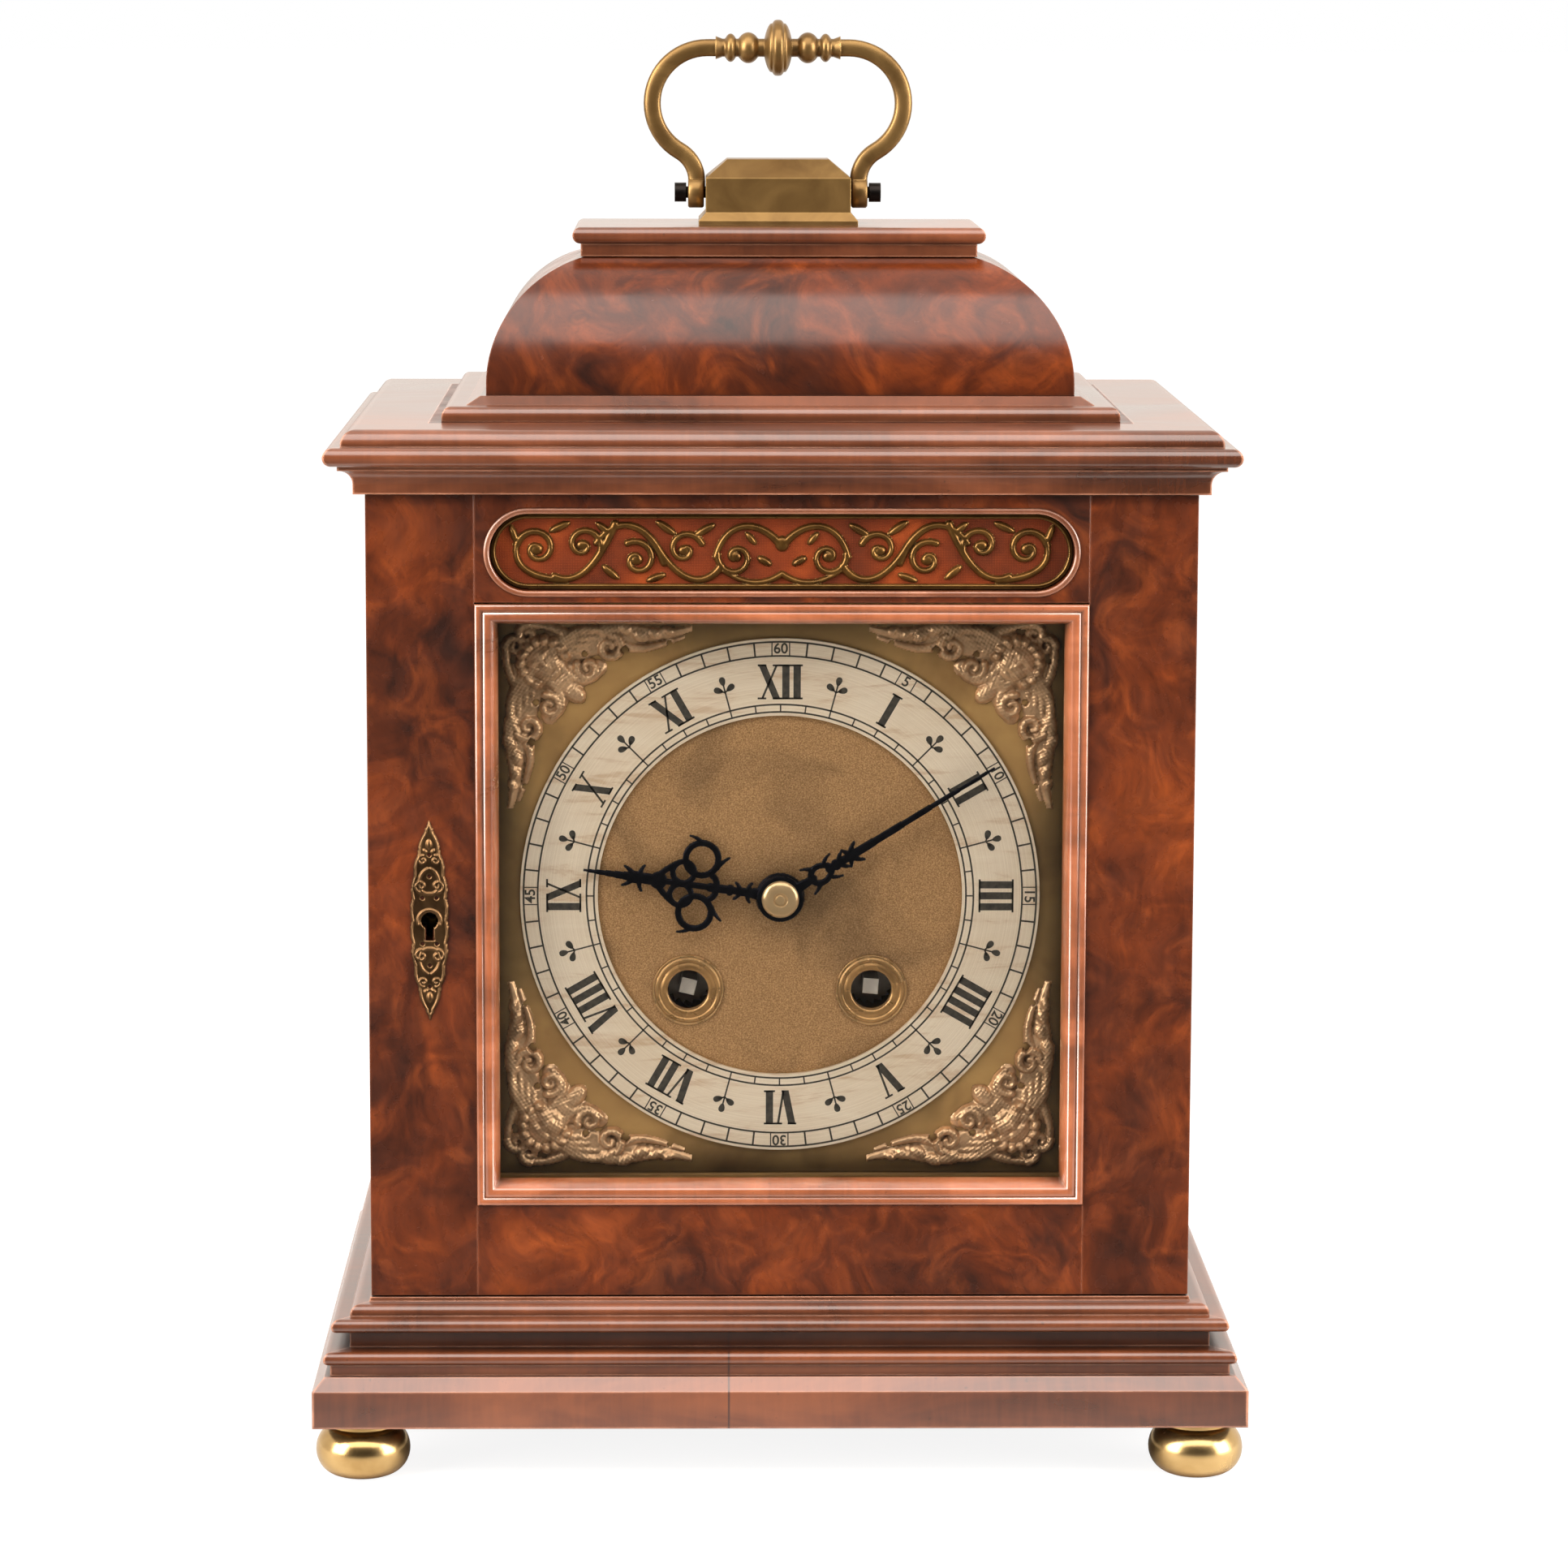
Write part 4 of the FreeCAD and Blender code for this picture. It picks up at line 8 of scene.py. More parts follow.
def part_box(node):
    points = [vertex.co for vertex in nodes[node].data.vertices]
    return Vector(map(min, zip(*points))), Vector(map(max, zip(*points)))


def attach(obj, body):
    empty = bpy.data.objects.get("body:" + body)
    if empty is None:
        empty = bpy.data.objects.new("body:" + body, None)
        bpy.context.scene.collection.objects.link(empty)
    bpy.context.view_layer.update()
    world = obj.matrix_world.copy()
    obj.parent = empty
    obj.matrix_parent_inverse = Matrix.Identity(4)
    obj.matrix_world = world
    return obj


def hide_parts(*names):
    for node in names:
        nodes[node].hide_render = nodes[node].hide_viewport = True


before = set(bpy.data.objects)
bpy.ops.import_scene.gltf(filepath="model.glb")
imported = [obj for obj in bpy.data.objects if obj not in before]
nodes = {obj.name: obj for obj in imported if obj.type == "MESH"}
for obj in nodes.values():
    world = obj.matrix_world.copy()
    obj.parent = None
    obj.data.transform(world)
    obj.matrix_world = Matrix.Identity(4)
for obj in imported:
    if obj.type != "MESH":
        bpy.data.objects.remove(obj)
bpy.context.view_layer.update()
print("frame loaded:", len(nodes), "nodes")

mm = 0.001
dial = {"centre": 153.7, "face": -63.0}
doorFace = -80.0


def linear(code):
    # a colour written as it looks on a screen, turned into light
    parts = [int(code[i:i + 2], 16) / 255 for i in (0, 2, 4)]
    return tuple(p / 12.92 if p <= 0.04045 else ((p + 0.055) / 1.055) ** 2.4 for p in parts) + (1.0,)


def add(tree, kind, inputs=None, **settings):
    item = tree.nodes.new("ShaderNode" + kind)
    for name, value in settings.items():
        setattr(item, name, value)
    for key, value in (inputs or {}).items():
        if isinstance(value, bpy.types.NodeSocket):
            tree.links.new(value, item.inputs[key])
        else:
            item.inputs[key].default_value = value
    return item


def ramp(tree, factor, stops):
    item = add(tree, "ValToRGB", {"Fac": factor})
    elements = item.color_ramp.elements
    while len(elements) < len(stops):
        elements.new(0.5)
    for element, (place, code) in zip(elements, stops):
        element.position = place
        element.color = linear(code) if isinstance(code, str) else (code, code, code, 1.0)
    return item.outputs["Color"]


def blend(tree, factor, first, second, kind="MIX"):
    item = add(tree, "Mix", {0: factor, 6: first, 7: second}, data_type="RGBA", blend_type=kind)
    return item.outputs[2]


def darken(tree, amount, colour, shade):
    # multiplies the colour by the shade, as far as the amount says
    return blend(tree, amount, colour, blend(tree, 1.0, colour, shade, "MULTIPLY"))


def sums(tree, kind, first, second=0.0, third=0.0):
    item = add(tree, "Math", {0: first, 1: second, 2: third}, operation=kind)
    return item.outputs[0]


def noise(tree, vector, scale, detail=3.0, rough=0.5, twist=0.0, part="Fac"):
    return add(tree, "TexNoise", {"Vector": vector, "Scale": scale, "Detail": detail, "Roughness": rough,
                                  "Distortion": twist}).outputs[part]


def mapped(tree, vector, scale=(1, 1, 1), offset=(0, 0, 0), turn=(0, 0, 0)):
    return add(tree, "Mapping", {"Vector": vector, "Scale": scale, "Location": offset,
                                 "Rotation": turn}).outputs["Vector"]


def begin(name):
    material = bpy.data.materials.new(name)
    material.use_nodes = True
    tree = material.node_tree
    shader = tree.nodes["Principled BSDF"]
    spot = add(tree, "TexCoord").outputs["Object"]
    return material, tree, shader, spot


def put(tree, shader, values):
    for key, value in values.items():
        if isinstance(value, bpy.types.NodeSocket):
            tree.links.new(value, shader.inputs[key])
        else:
            shader.inputs[key].default_value = value


def softEdge(tree, radius):
    return add(tree, "Bevel", {"Radius": radius}, samples=4).outputs["Normal"]


def rubbedEdgeHighlight(tree, radius):
    # bright where an outer edge has been rubbed; the same brightening is also a painted highlight on the edge
    plain = add(tree, "NewGeometry").outputs["Normal"]
    near = add(tree, "VectorMath", {0: softEdge(tree, radius), 1: plain},
               operation="DOT_PRODUCT").outputs["Value"]
    bent = sums(tree, "SUBTRACT", 1.0, near)
    return sums(tree, "MULTIPLY", bent, openness(tree, 4 * mm))


def openness(tree, reach):
    return add(tree, "AmbientOcclusion", {"Distance": reach}, samples=6).outputs["AO"]


def bump(tree, height, strength, depth, normal=None):
    inputs = {"Height": height, "Strength": strength, "Distance": depth}
    if normal is not None:
        inputs["Normal"] = normal
    return add(tree, "Bump", inputs).outputs["Normal"]


def burrWalnut(name, offset, size=1.0, darker=0.0, across=False, polish=0.26):
    # clouds of red and near-black wood with soft edges, wavy fibres, a few burr eyes and fine pores
    material, tree, shader, spot = begin(name)
    turned = (0, 0.5, 0) if across else (0, 0, 0)
    at = mapped(tree, spot, (1, 1, 1), offset, turned)
    drift = noise(tree, at, 24 / size, 2, 0.5, 0.0, "Color")
    shift = blend(tree, 1.0, drift, (0.034, 0.034, 0.034, 1), "MULTIPLY")
    pulled = add(tree, "VectorMath", {0: at, 1: shift}, operation="ADD").outputs["Vector"]
    clouds = noise(tree, mapped(tree, pulled, (1.0, 1.0, 0.7)), 30 / size, 3, 0.5, 0.6)
    swirls = noise(tree, pulled, 62 / size, 5, 0.55, 1.5)
    base = ramp(tree, clouds, [(0.34 + darker, "2C130A"), (0.46 + darker, "461C09"),
                               (0.58 + darker, "602709"), (0.74 + darker, "7C370E")])
    figure = ramp(tree, swirls, [(0.32, "1E0C06"), (0.50, "522109"), (0.72, "883F14")])
    colour = blend(tree, 0.42, base, figure)
    fibre = noise(tree, mapped(tree, pulled, (240, 240, 50)), 1.7, 4, 0.6, 0.6)
    colour = darken(tree, 0.7, colour, ramp(tree, fibre, [(0.3, 0.55), (0.65, 1.0)]))
    eyes = add(tree, "TexVoronoi", {"Vector": pulled, "Scale": 62 / size, "Randomness": 1.0})
    eyeRing = ramp(tree, eyes.outputs["Distance"],
                   [(0.0, 0.15), (0.05, 0.3), (0.09, 0.95), (0.13, 0.6), (0.17, 1.0)])
    gathered = ramp(tree, noise(tree, at, 18 / size, 1), [(0.54, 0.0), (0.64, 0.6)])
    colour = darken(tree, gathered, colour, eyeRing)
    pores = ramp(tree, noise(tree, mapped(tree, pulled, (1, 1, 0.35)), 2100, 2, 0.5),
                 [(0.30, 0.45), (0.40, 1.0)])
    colour = darken(tree, 0.4, colour, pores)
    # edges lightened as rubbing wear and as a painted highlight
    wearAndHighlight = ramp(tree, rubbedEdgeHighlight(tree, 0.8 * mm), [(0.03, 0.0), (0.25, 0.4)])
    colour = blend(tree, wearAndHighlight, colour, linear("A05A38"))
    # hollows and corners darkened by ambient occlusion: dirt and painted shade
    dirtAndShade = ramp(tree, openness(tree, 5 * mm), [(0.35, "2A1510"), (0.85, "FFFFFF")])
    colour = darken(tree, 0.8, colour, dirtAndShade)
    gloss = ramp(tree, noise(tree, at, 120, 4), [(0.3, polish - 0.05), (0.7, polish + 0.08)])
    put(tree, shader, {"Base Color": colour, "Roughness": gloss, "Specular IOR Level": 0.35,
                       "Coat Weight": 0.3, "Coat Roughness": 0.36, "Coat IOR": 1.5,
                       "Normal": bump(tree, fibre, 0.04, 0.1 * mm, softEdge(tree, 0.45 * mm))})
    return material


def crossWalnut(name, offset, light="7C4427", mid="5C2F18", dark="30160B", seam=None, shine=0.6):
    # short grain laid across each moulding, waxed dirt and painted shade in the hollows, and rubbed pink edges that
    # also carry a painted highlight
    material, tree, shader, spot = begin(name)
    at = mapped(tree, spot, (1, 1, 1), offset)
    facing = add(tree, "SeparateXYZ", {0: add(tree, "NewGeometry").outputs["Normal"]})
    sideways = sums(tree, "GREATER_THAN", sums(tree, "ABSOLUTE", facing.outputs["X"]),
                    sums(tree, "ABSOLUTE", facing.outputs["Y"]))
    alongX = noise(tree, mapped(tree, at, (460, 60, 60)), 1.0, 4, 0.55, 0.7)
    alongY = noise(tree, mapped(tree, at, (60, 460, 60)), 1.0, 4, 0.55, 0.7)
    grain = add(tree, "Mix", {0: sideways, 2: alongX, 3: alongY}).outputs[0]
    patches = noise(tree, mapped(tree, at, (0.5, 0.5, 1.6)), 30, 4, 0.6, 0.8)
    colour = blend(tree, 0.38, linear(mid), ramp(tree, grain, [(0.3, dark), (0.5, mid), (0.7, light)]))
    colour = blend(tree, 0.6, colour, ramp(tree, patches, [(0.34, dark), (0.52, mid), (0.68, light)]))
    # pink edges: rubbing wear and a painted highlight
    wearAndHighlight = ramp(tree, rubbedEdgeHighlight(tree, 1.0 * mm), [(0.03, 0.0), (0.22, 1.0)])
    rubbedHighlight = sums(tree, "MULTIPLY", wearAndHighlight, ramp(tree, noise(tree, at, 90, 3), [(0.3, 0.35), (0.6, 1.0)]))
    colour = blend(tree, rubbedHighlight, colour, linear("D89878"))
    # hollows darkened by ambient occlusion: waxed dirt and painted shade
    dirtAndShade = ramp(tree, openness(tree, 7 * mm), [(0.36, "180C08"), (0.78, "FFFFFF")])
    colour = darken(tree, 0.95, colour, dirtAndShade)
    specks = ramp(tree, noise(tree, at, 620, 2), [(0.24, 0.35), (0.30, 1.0)])
    colour = darken(tree, 0.6, colour, specks)
    if seam is not None:
        # the glued joint where two lengths meet
        across = add(tree, "SeparateXYZ", {0: spot}).outputs["X"]
        away = sums(tree, "ABSOLUTE", sums(tree, "SUBTRACT", across, seam))
        colour = blend(tree, ramp(tree, sums(tree, "DIVIDE", away, 0.8 * mm), [(0.2, 0.8), (0.5, 0.0)]),
                       colour, linear("2A1510"))
    gloss = ramp(tree, patches, [(0.3, 0.26), (0.7, 0.36)])
    put(tree, shader, {"Base Color": colour, "Roughness": gloss, "Coat Weight": shine,
                       "Coat Roughness": 0.16, "Coat IOR": 1.7,
                       "Normal": bump(tree, grain, 0.06, 0.12 * mm, softEdge(tree, 0.5 * mm))})
    return material


def metal(name, base, dirt, rough, spots=90.0, grainScale=(1, 1, 1), grainDepth=0.04, grimeReach=2.5,
          wearHighlight=None, weight=1.0):
    # worked metal: uneven tarnish, dirt left in the low places and fine tool marks
    material, tree, shader, spot = begin(name)
    stain = noise(tree, spot, spots, 4, 0.6, 0.6)
    colour = blend(tree, ramp(tree, stain, [(0.35, 0.5), (0.65, 0.0)]), linear(base), linear(dirt))
    low = ramp(tree, openness(tree, grimeReach * mm), [(0.35, 1.0), (0.85, 0.0)])
    colour = blend(tree, sums(tree, "MULTIPLY", low, 0.85), colour, linear(dirt))
    # optional pale edge colour: rubbing wear and a painted highlight
    if wearHighlight:
        rubbedHighlight = ramp(tree, rubbedEdgeHighlight(tree, 0.7 * mm), [(0.02, 0.0), (0.25, 0.9)])
        colour = blend(tree, rubbedHighlight, colour, linear(wearHighlight))
    marks = noise(tree, mapped(tree, spot, grainScale), 900, 3, 0.6)
    gloss = sums(tree, "ADD", sums(tree, "MULTIPLY", stain, 0.22), rough - 0.11)
    gloss = sums(tree, "ADD", gloss, sums(tree, "MULTIPLY", low, 0.25))
    put(tree, shader, {"Base Color": colour, "Metallic": weight, "Roughness": gloss,
                       "Normal": bump(tree, marks, grainDepth * 5, grainDepth * mm,
                                      softEdge(tree, 0.25 * mm))})
    return material


def plainWood(name, light, dark):
    # straight-grained secondary wood, unpolished
    material, tree, shader, spot = begin(name)
    grain = noise(tree, mapped(tree, spot, (25, 400, 400)), 1.0, 5, 0.6, 0.5)
    colour = ramp(tree, grain, [(0.3, dark), (0.7, light)])
    put(tree, shader, {"Base Color": colour, "Roughness": 0.62,
                       "Normal": bump(tree, grain, 0.2, 0.2 * mm, softEdge(tree, 0.4 * mm))})
    return material


# ---- finishes ----

agedBrass = metal("agedBrassHandle", "82653A", "482E14", 0.34, 60, wearHighlight="B08E58", weight=0.75)
screwSteel = metal("brownedScrews", "2A2624", "14110F", 0.42)
polishedBrass = metal("polishedBrassFeet", "C6A874", "8A6632", 0.24, 45, grimeReach=3.0)
fretBrass = metal("dulledFretBrass", "745226", "28160A", 0.30, 140, grimeReach=1.2, wearHighlight="D2AA68", weight=0.8)
castGilt = metal("castGiltBrass", "ECC094", "60442A", 0.32, 150, grimeReach=1.5, grainDepth=0.06,
                 wearHighlight="FFE4BC", weight=0.6)
scutcheonBrass = metal("brownedScutcheonBrass", "74573A", "2C1C12", 0.38, 130, grimeReach=0.9, wearHighlight="B8926A")
clockBrass = metal("grainedClockBrass", "C7A35A", "7A5F30", 0.28, 50, (0.05, 1, 1))
collarBrass = metal("turnedCollarBrass", "C99A62", "5E4222", 0.28, 120, grimeReach=0.5,
                    wearHighlight="EFCB96", weight=0.6)
colletBrass = metal("domedColletBrass", "F0CFA0", "C09A68", 0.30, 20, grainDepth=0.0,
                    grimeReach=0.5, weight=0.7)
# near-white and barely metallic steel: its pale colour is a painted glint
glintPaintedSteel = metal("glintPaintedSteel", "F4EEE4", "8A847A", 0.32, 70, weight=0.2)
bluedSteel = metal("bluedSteelHands", "22232C", "121318", 0.36, 160, grimeReach=0.6, wearHighlight="3A3C48")
gongSteel = metal("bluedGongSteel", "39404E", "20242C", 0.30, 80)
castIron = metal("blackCastIron", "34312E", "1B1917", 0.62, 200, grainDepth=0.2)
oak = plainWood("waxedOak", "94703F", "60431F")
plinthWalnut = crossWalnut("plinthWalnut", (0.3, 0.1, 0.0), "784122", "582C16", "2E1409", seam=-13.8 * mm)
mouldingWalnut = crossWalnut("crossGrainWalnut", (0.0, 0.2, 0.5))
sightWalnut = crossWalnut("sightFrameWalnut", (0.7, 0.0, 0.2), "AE6642", "884A2A", "442010", shine=1.0)


def mattedPlate(name):
    # punched matt centre inside the numeral ring, satin and browner outside it, with old stains
    material, tree, shader, spot = begin(name)
    discReach, borderReach = 60 * mm, 80 * mm
    middle = add(tree, "VectorMath", {0: spot, 1: (0.0, dial["face"] * mm, dial["centre"] * mm)},
                 operation="DISTANCE").outputs["Value"]
    inside = ramp(tree, sums(tree, "DIVIDE", middle, discReach), [(0.80, 1.0), (0.85, 0.0)])
    grains = noise(tree, spot, 2600, 3, 0.6)
    colour = ramp(tree, grains, [(0.30, "8C6840"), (0.5, "B08658"), (0.72, "D8AC78")])
    outer = ramp(tree, noise(tree, spot, 40, 4, 0.6, 0.5), [(0.3, "AE8450"), (0.7, "CEA466")])
    across = add(tree, "SeparateXYZ", {0: mapped(tree, spot, (1, 1, 1), (0, 0, -dial["centre"] * mm))})
    nearest = sums(tree, "MAXIMUM", sums(tree, "ABSOLUTE", across.outputs["X"]),
                   sums(tree, "ABSOLUTE", across.outputs["Z"]))
    border = ramp(tree, sums(tree, "DIVIDE", nearest, borderReach), [(0.80, 1.0), (0.94, 0.26)])
    outer = blend(tree, 1.0, outer, border, "MULTIPLY")
    colour = blend(tree, inside, outer, colour)
    stains = ramp(tree, noise(tree, spot, 34, 3, 0.5, 0.6), [(0.30, 0.55), (0.48, 1.0)])
    colour = darken(tree, 0.8, colour, stains)
    hub = ramp(tree, sums(tree, "DIVIDE", middle, discReach), [(0.05, 0.55), (0.30, 1.0)])
    colour = darken(tree, 0.7, colour, hub)
    # darker in the hollows beside raised parts: dirt and painted shade
    dirtAndShade = ramp(tree, openness(tree, 5 * mm), [(0.25, 0.35), (0.75, 1.0)])
    colour = darken(tree, 0.85, colour, dirtAndShade)
    gloss = blend(tree, inside, (0.34, 0.34, 0.34, 1), (0.56, 0.56, 0.56, 1))
    put(tree, shader, {"Base Color": colour, "Metallic": 0.35, "Roughness": gloss,
                       "Normal": bump(tree, sums(tree, "MULTIPLY", grains, inside), 0.3, 0.08 * mm)})
    return material


def silveredRing(name):
    # pale silvering, faint turning lines and a few rubbed warm streaks
    material, tree, shader, spot = begin(name)
    centred = mapped(tree, spot, (1, 1, 1), (0, 0, -dial["centre"] * mm))
    radius = add(tree, "VectorMath", {0: add(tree, "VectorMath", {0: centred, 1: (1, 0, 1)},
                                             operation="MULTIPLY").outputs["Vector"]}, operation="LENGTH")
    turning = add(tree, "TexNoise", {"W": sums(tree, "MULTIPLY", radius.outputs["Value"], 2600), "Scale": 1.0,
                                     "Detail": 2.0}, noise_dimensions="1D").outputs["Fac"]
    streaks = noise(tree, mapped(tree, centred, (30, 30, 190), turn=(0, 0.75, 0)), 1.4, 5, 0.65, 0.5)
    cloudy = noise(tree, spot, 42, 3, 0.5)
    colour = ramp(tree, streaks, [(0.34, "D0AC88"), (0.44, "EAD6BC"), (0.7, "F2E2CA")])
    colour = blend(tree, 0.35, colour, ramp(tree, cloudy, [(0.35, "DCC4A4"), (0.6, "F2E0C8")]))
    colour = blend(tree, 0.12, colour, ramp(tree, turning, [(0.4, "A99C88"), (0.6, "F2ECE0")]))
    put(tree, shader, {"Base Color": colour, "Metallic": 0.2, "Roughness": 0.42,
                       "Normal": bump(tree, turning, 0.06, 0.05 * mm, softEdge(tree, 0.2 * mm))})
    return material


def blackWax(name):
    # dull brown-black filling of the engraved lines
    material, tree, shader, spot = begin(name)
    colour = ramp(tree, noise(tree, spot, 700, 3), [(0.3, "2C2824"), (0.7, "4A443A")])
    put(tree, shader, {"Base Color": colour, "Roughness": 0.6})
    return material


def paneGlass(name):
    # clear pane: light passes straight through, with a little reflection
    material = bpy.data.materials.new(name)
    material.use_nodes = True
    tree = material.node_tree
    tree.nodes.clear()
    spot = add(tree, "TexCoord").outputs["Object"]
    ripple = bump(tree, noise(tree, spot, 14, 1), 0.03, 1 * mm)
    clear = add(tree, "BsdfTransparent", {"Color": (0.985, 0.99, 0.985, 1)}).outputs[0]
    shine = add(tree, "BsdfGlossy", {"Color": (1, 1, 1, 1), "Roughness": 0.02, "Normal": ripple}).outputs[0]
    amount = sums(tree, "MULTIPLY", add(tree, "Fresnel", {"IOR": 1.3}).outputs[0], 0.8)
    both = add(tree, "MixShader", {0: amount, 1: clear, 2: shine}).outputs[0]
    add(tree, "OutputMaterial", {"Surface": both})
    return material


def wovenSilk(name):
    # plain weave: warp and weft ridges crossing, rust red gone brown
    material, tree, shader, spot = begin(name)
    warp, weft = [add(tree, "TexWave", {"Vector": spot, "Scale": 700.0, "Distortion": 0.4},
                      bands_direction=way).outputs["Fac"] for way in ("X", "Z")]
    weave = sums(tree, "MULTIPLY", warp, weft)
    colour = ramp(tree, noise(tree, spot, 60, 4), [(0.3, "361206"), (0.55, "66260A"), (0.75, "8E3E14")])
    colour = blend(tree, 0.3, colour, ramp(tree, weave, [(0.0, "34120A"), (0.8, "8A441E")]))
    put(tree, shader, {"Base Color": colour, "Roughness": 0.7, "Specular IOR Level": 0.1,
                       "Sheen Weight": 0.02, "Normal": bump(tree, weave, 0.4, 0.1 * mm)})
    return material


dialBrass = mattedPlate("mattedDialBrass")
silvering = silveredRing("silveredNumeralRing")
wax = blackWax("engravingWax")
pane = paneGlass("doorPane")
silk = wovenSilk("fretSilk")

# each veneered board is cut from its own part of the burr, so the figure changes at every joint
finishes = {
    "carrying_handle": agedBrass, "handle_base": agedBrass, "handle_pivot_screws": screwSteel,
    "bun_feet": polishedBrass, "rear_door_knob": polishedBrass, "hand_collet": collarBrass,
    "door_pivot_plates": clockBrass, "door_pivot_pins": glintPaintedSteel, "rear_door_pivot_pins": glintPaintedSteel,
    "plinth_moulding": plinthWalnut, "base_moulding": mouldingWalnut, "cornice_moulding": mouldingWalnut,
    "caddy_base_moulding": mouldingWalnut, "caddy_top_pad": mouldingWalnut, "rear_door_frame": mouldingWalnut,
    "door_sight_moulding": sightWalnut,
    "side_panel_left": burrWalnut("burrSideLeft", (0.1, 0.0, 0.4)),
    "side_panel_right": burrWalnut("burrSideRight", (0.9, 0.3, 0.1)),
    "door_stile_left": burrWalnut("burrStileLeft", (0.32, 0.0, 0.73), 1.0, 0.03),
    "door_stile_right": burrWalnut("burrStileRight", (1.7, 0.0, 0.25), 1.0, 0.0),
    "door_rail_bottom": burrWalnut("burrRailBottom", (0.65, 0.0, 1.1), 0.8, -0.01, True),
    "door_rail_top": burrWalnut("burrRailTop", (2.3, 0.0, 0.6), 0.9, 0.05, True),
    "caddy_dome": burrWalnut("burrDome", (0.45, 0.2, 1.9), 1.1, 0.02, True, 0.2),
    "top_board": burrWalnut("burrTopBoard", (1.2, 0.5, 0.3), 1.0, -0.02, True, 0.34),
    "floor_board": oak, "dial_mask": oak, "seat_board": oak,
    "dial_plate": dialBrass, "chapter_ring": silvering, "winding_collars": collarBrass,
    "hour_hand": bluedSteel, "minute_hand": bluedSteel,
    "gong_coil": gongSteel, "gong_stand": castIron,
    "door_glass": pane, "rear_door_glass": pane, "fret_silk": silk,
    "lock_bolt": glintPaintedSteel, "going_winding_arbor": glintPaintedSteel, "strike_winding_arbor": glintPaintedSteel,
    "pallet_anchor": glintPaintedSteel, "strike_hammer": glintPaintedSteel,
}
for name, piece in nodes.items():
    piece.data.materials.clear()
    piece.data.materials.append(finishes.get(name, clockBrass))
    piece.data.shade_smooth()
print("finishes given")

# ---- engraving of the numeral ring ----

ring = {"face": -64.3, "lift": 0.04, "outer": 68.9, "track": 65.1, "top": 62.8, "foot": 53.4,
        "innerTrack": 52.0, "inner": 50.0, "thick": 1.95, "thin": 0.6, "serif": 0.5}
corners, polygons = [], []


def onRing(x, z):
    return (x * mm, (ring["face"] - ring["lift"]) * mm, (dial["centre"] + z) * mm)


def flat(points):
    first = len(corners)
    corners.extend(onRing(x, z) for x, z in points)
    polygons.append(list(range(first, first + len(points))))


def polar(angle, radius, aside=0.0):
    a = math.radians(angle)
    return (radius * math.sin(a) + aside * math.cos(a), radius * math.cos(a) - aside * math.sin(a))


def circleLine(radius, width, pieces=240):
    for k in range(pieces):
        a, b = 360 * k / pieces, 360 * (k + 1) / pieces
        flat([polar(a, radius - width / 2), polar(a, radius + width / 2),
              polar(b, radius + width / 2), polar(b, radius - width / 2)])


def spoke(angle, low, high, width, aside=0.0, leanTo=None):
    # a bar from radius low to radius high, leaning to another place aside if asked
    end = aside if leanTo is None else leanTo
    flat([polar(angle, low, aside - width / 2), polar(angle, high, end - width / 2),
          polar(angle, high, end + width / 2), polar(angle, low, aside + width / 2)])


def numeral(angle, letters):
    widths = {"I": 3.0, "V": 5.4, "X": 5.8}
    at = -sum(widths[c] for c in letters) / 2
    low, high, serif = ring["foot"], ring["top"], ring["serif"]
    for c in letters:
        middle = at + widths[c] / 2
        at += widths[c]
        if c == "I":
            spoke(angle, low, high, ring["thick"], middle)
            for r in (low, high - serif):
                spoke(angle, r, r + serif, 3.0, middle)
            continue
        half = 1.9 if c == "V" else 2.0
        foot = 0.0 if c == "V" else half
        spoke(angle, low, high, ring["thick"], middle + foot, middle - half)
        spoke(angle, low, high, ring["thin"], middle - foot + (0.4 if c == "V" else 0), middle + half)
        for side in (-1, 1):
            spoke(angle, high - serif, high, 2.3, middle + side * half)
            if c == "X":
                spoke(angle, low, low + serif, 2.3, middle + side * half)


def trefoil(angle):
    # half-hour mark: a stem opening into three separate leaves
    spoke(angle, ring["innerTrack"], 59.4, 0.42)
    for lean, size in ((-62, 2.1), (0, 2.0), (62, 2.1)):
        a, start = math.radians(lean), 57.2 if lean else 58.4
        leaf = []
        for k in range(14):
            t = 2 * math.pi * k / 14
            along = size * 0.62 * (1 + math.cos(t)) + 0.55
            across = 0.74 * math.sin(t) * (1.1 + 0.35 * math.cos(t))
            leaf.append(polar(angle, start + along * math.cos(a) - across * math.sin(a),
                              along * math.sin(a) + across * math.cos(a)))
        flat(leaf)
        if lean:
            side = math.copysign(1, lean)
            flat([polar(angle, 56.9, 0.0), polar(angle, 57.4, 0.0), polar(angle, 58.2, side * 1.4),
                  polar(angle, 57.8, side * 1.5)])


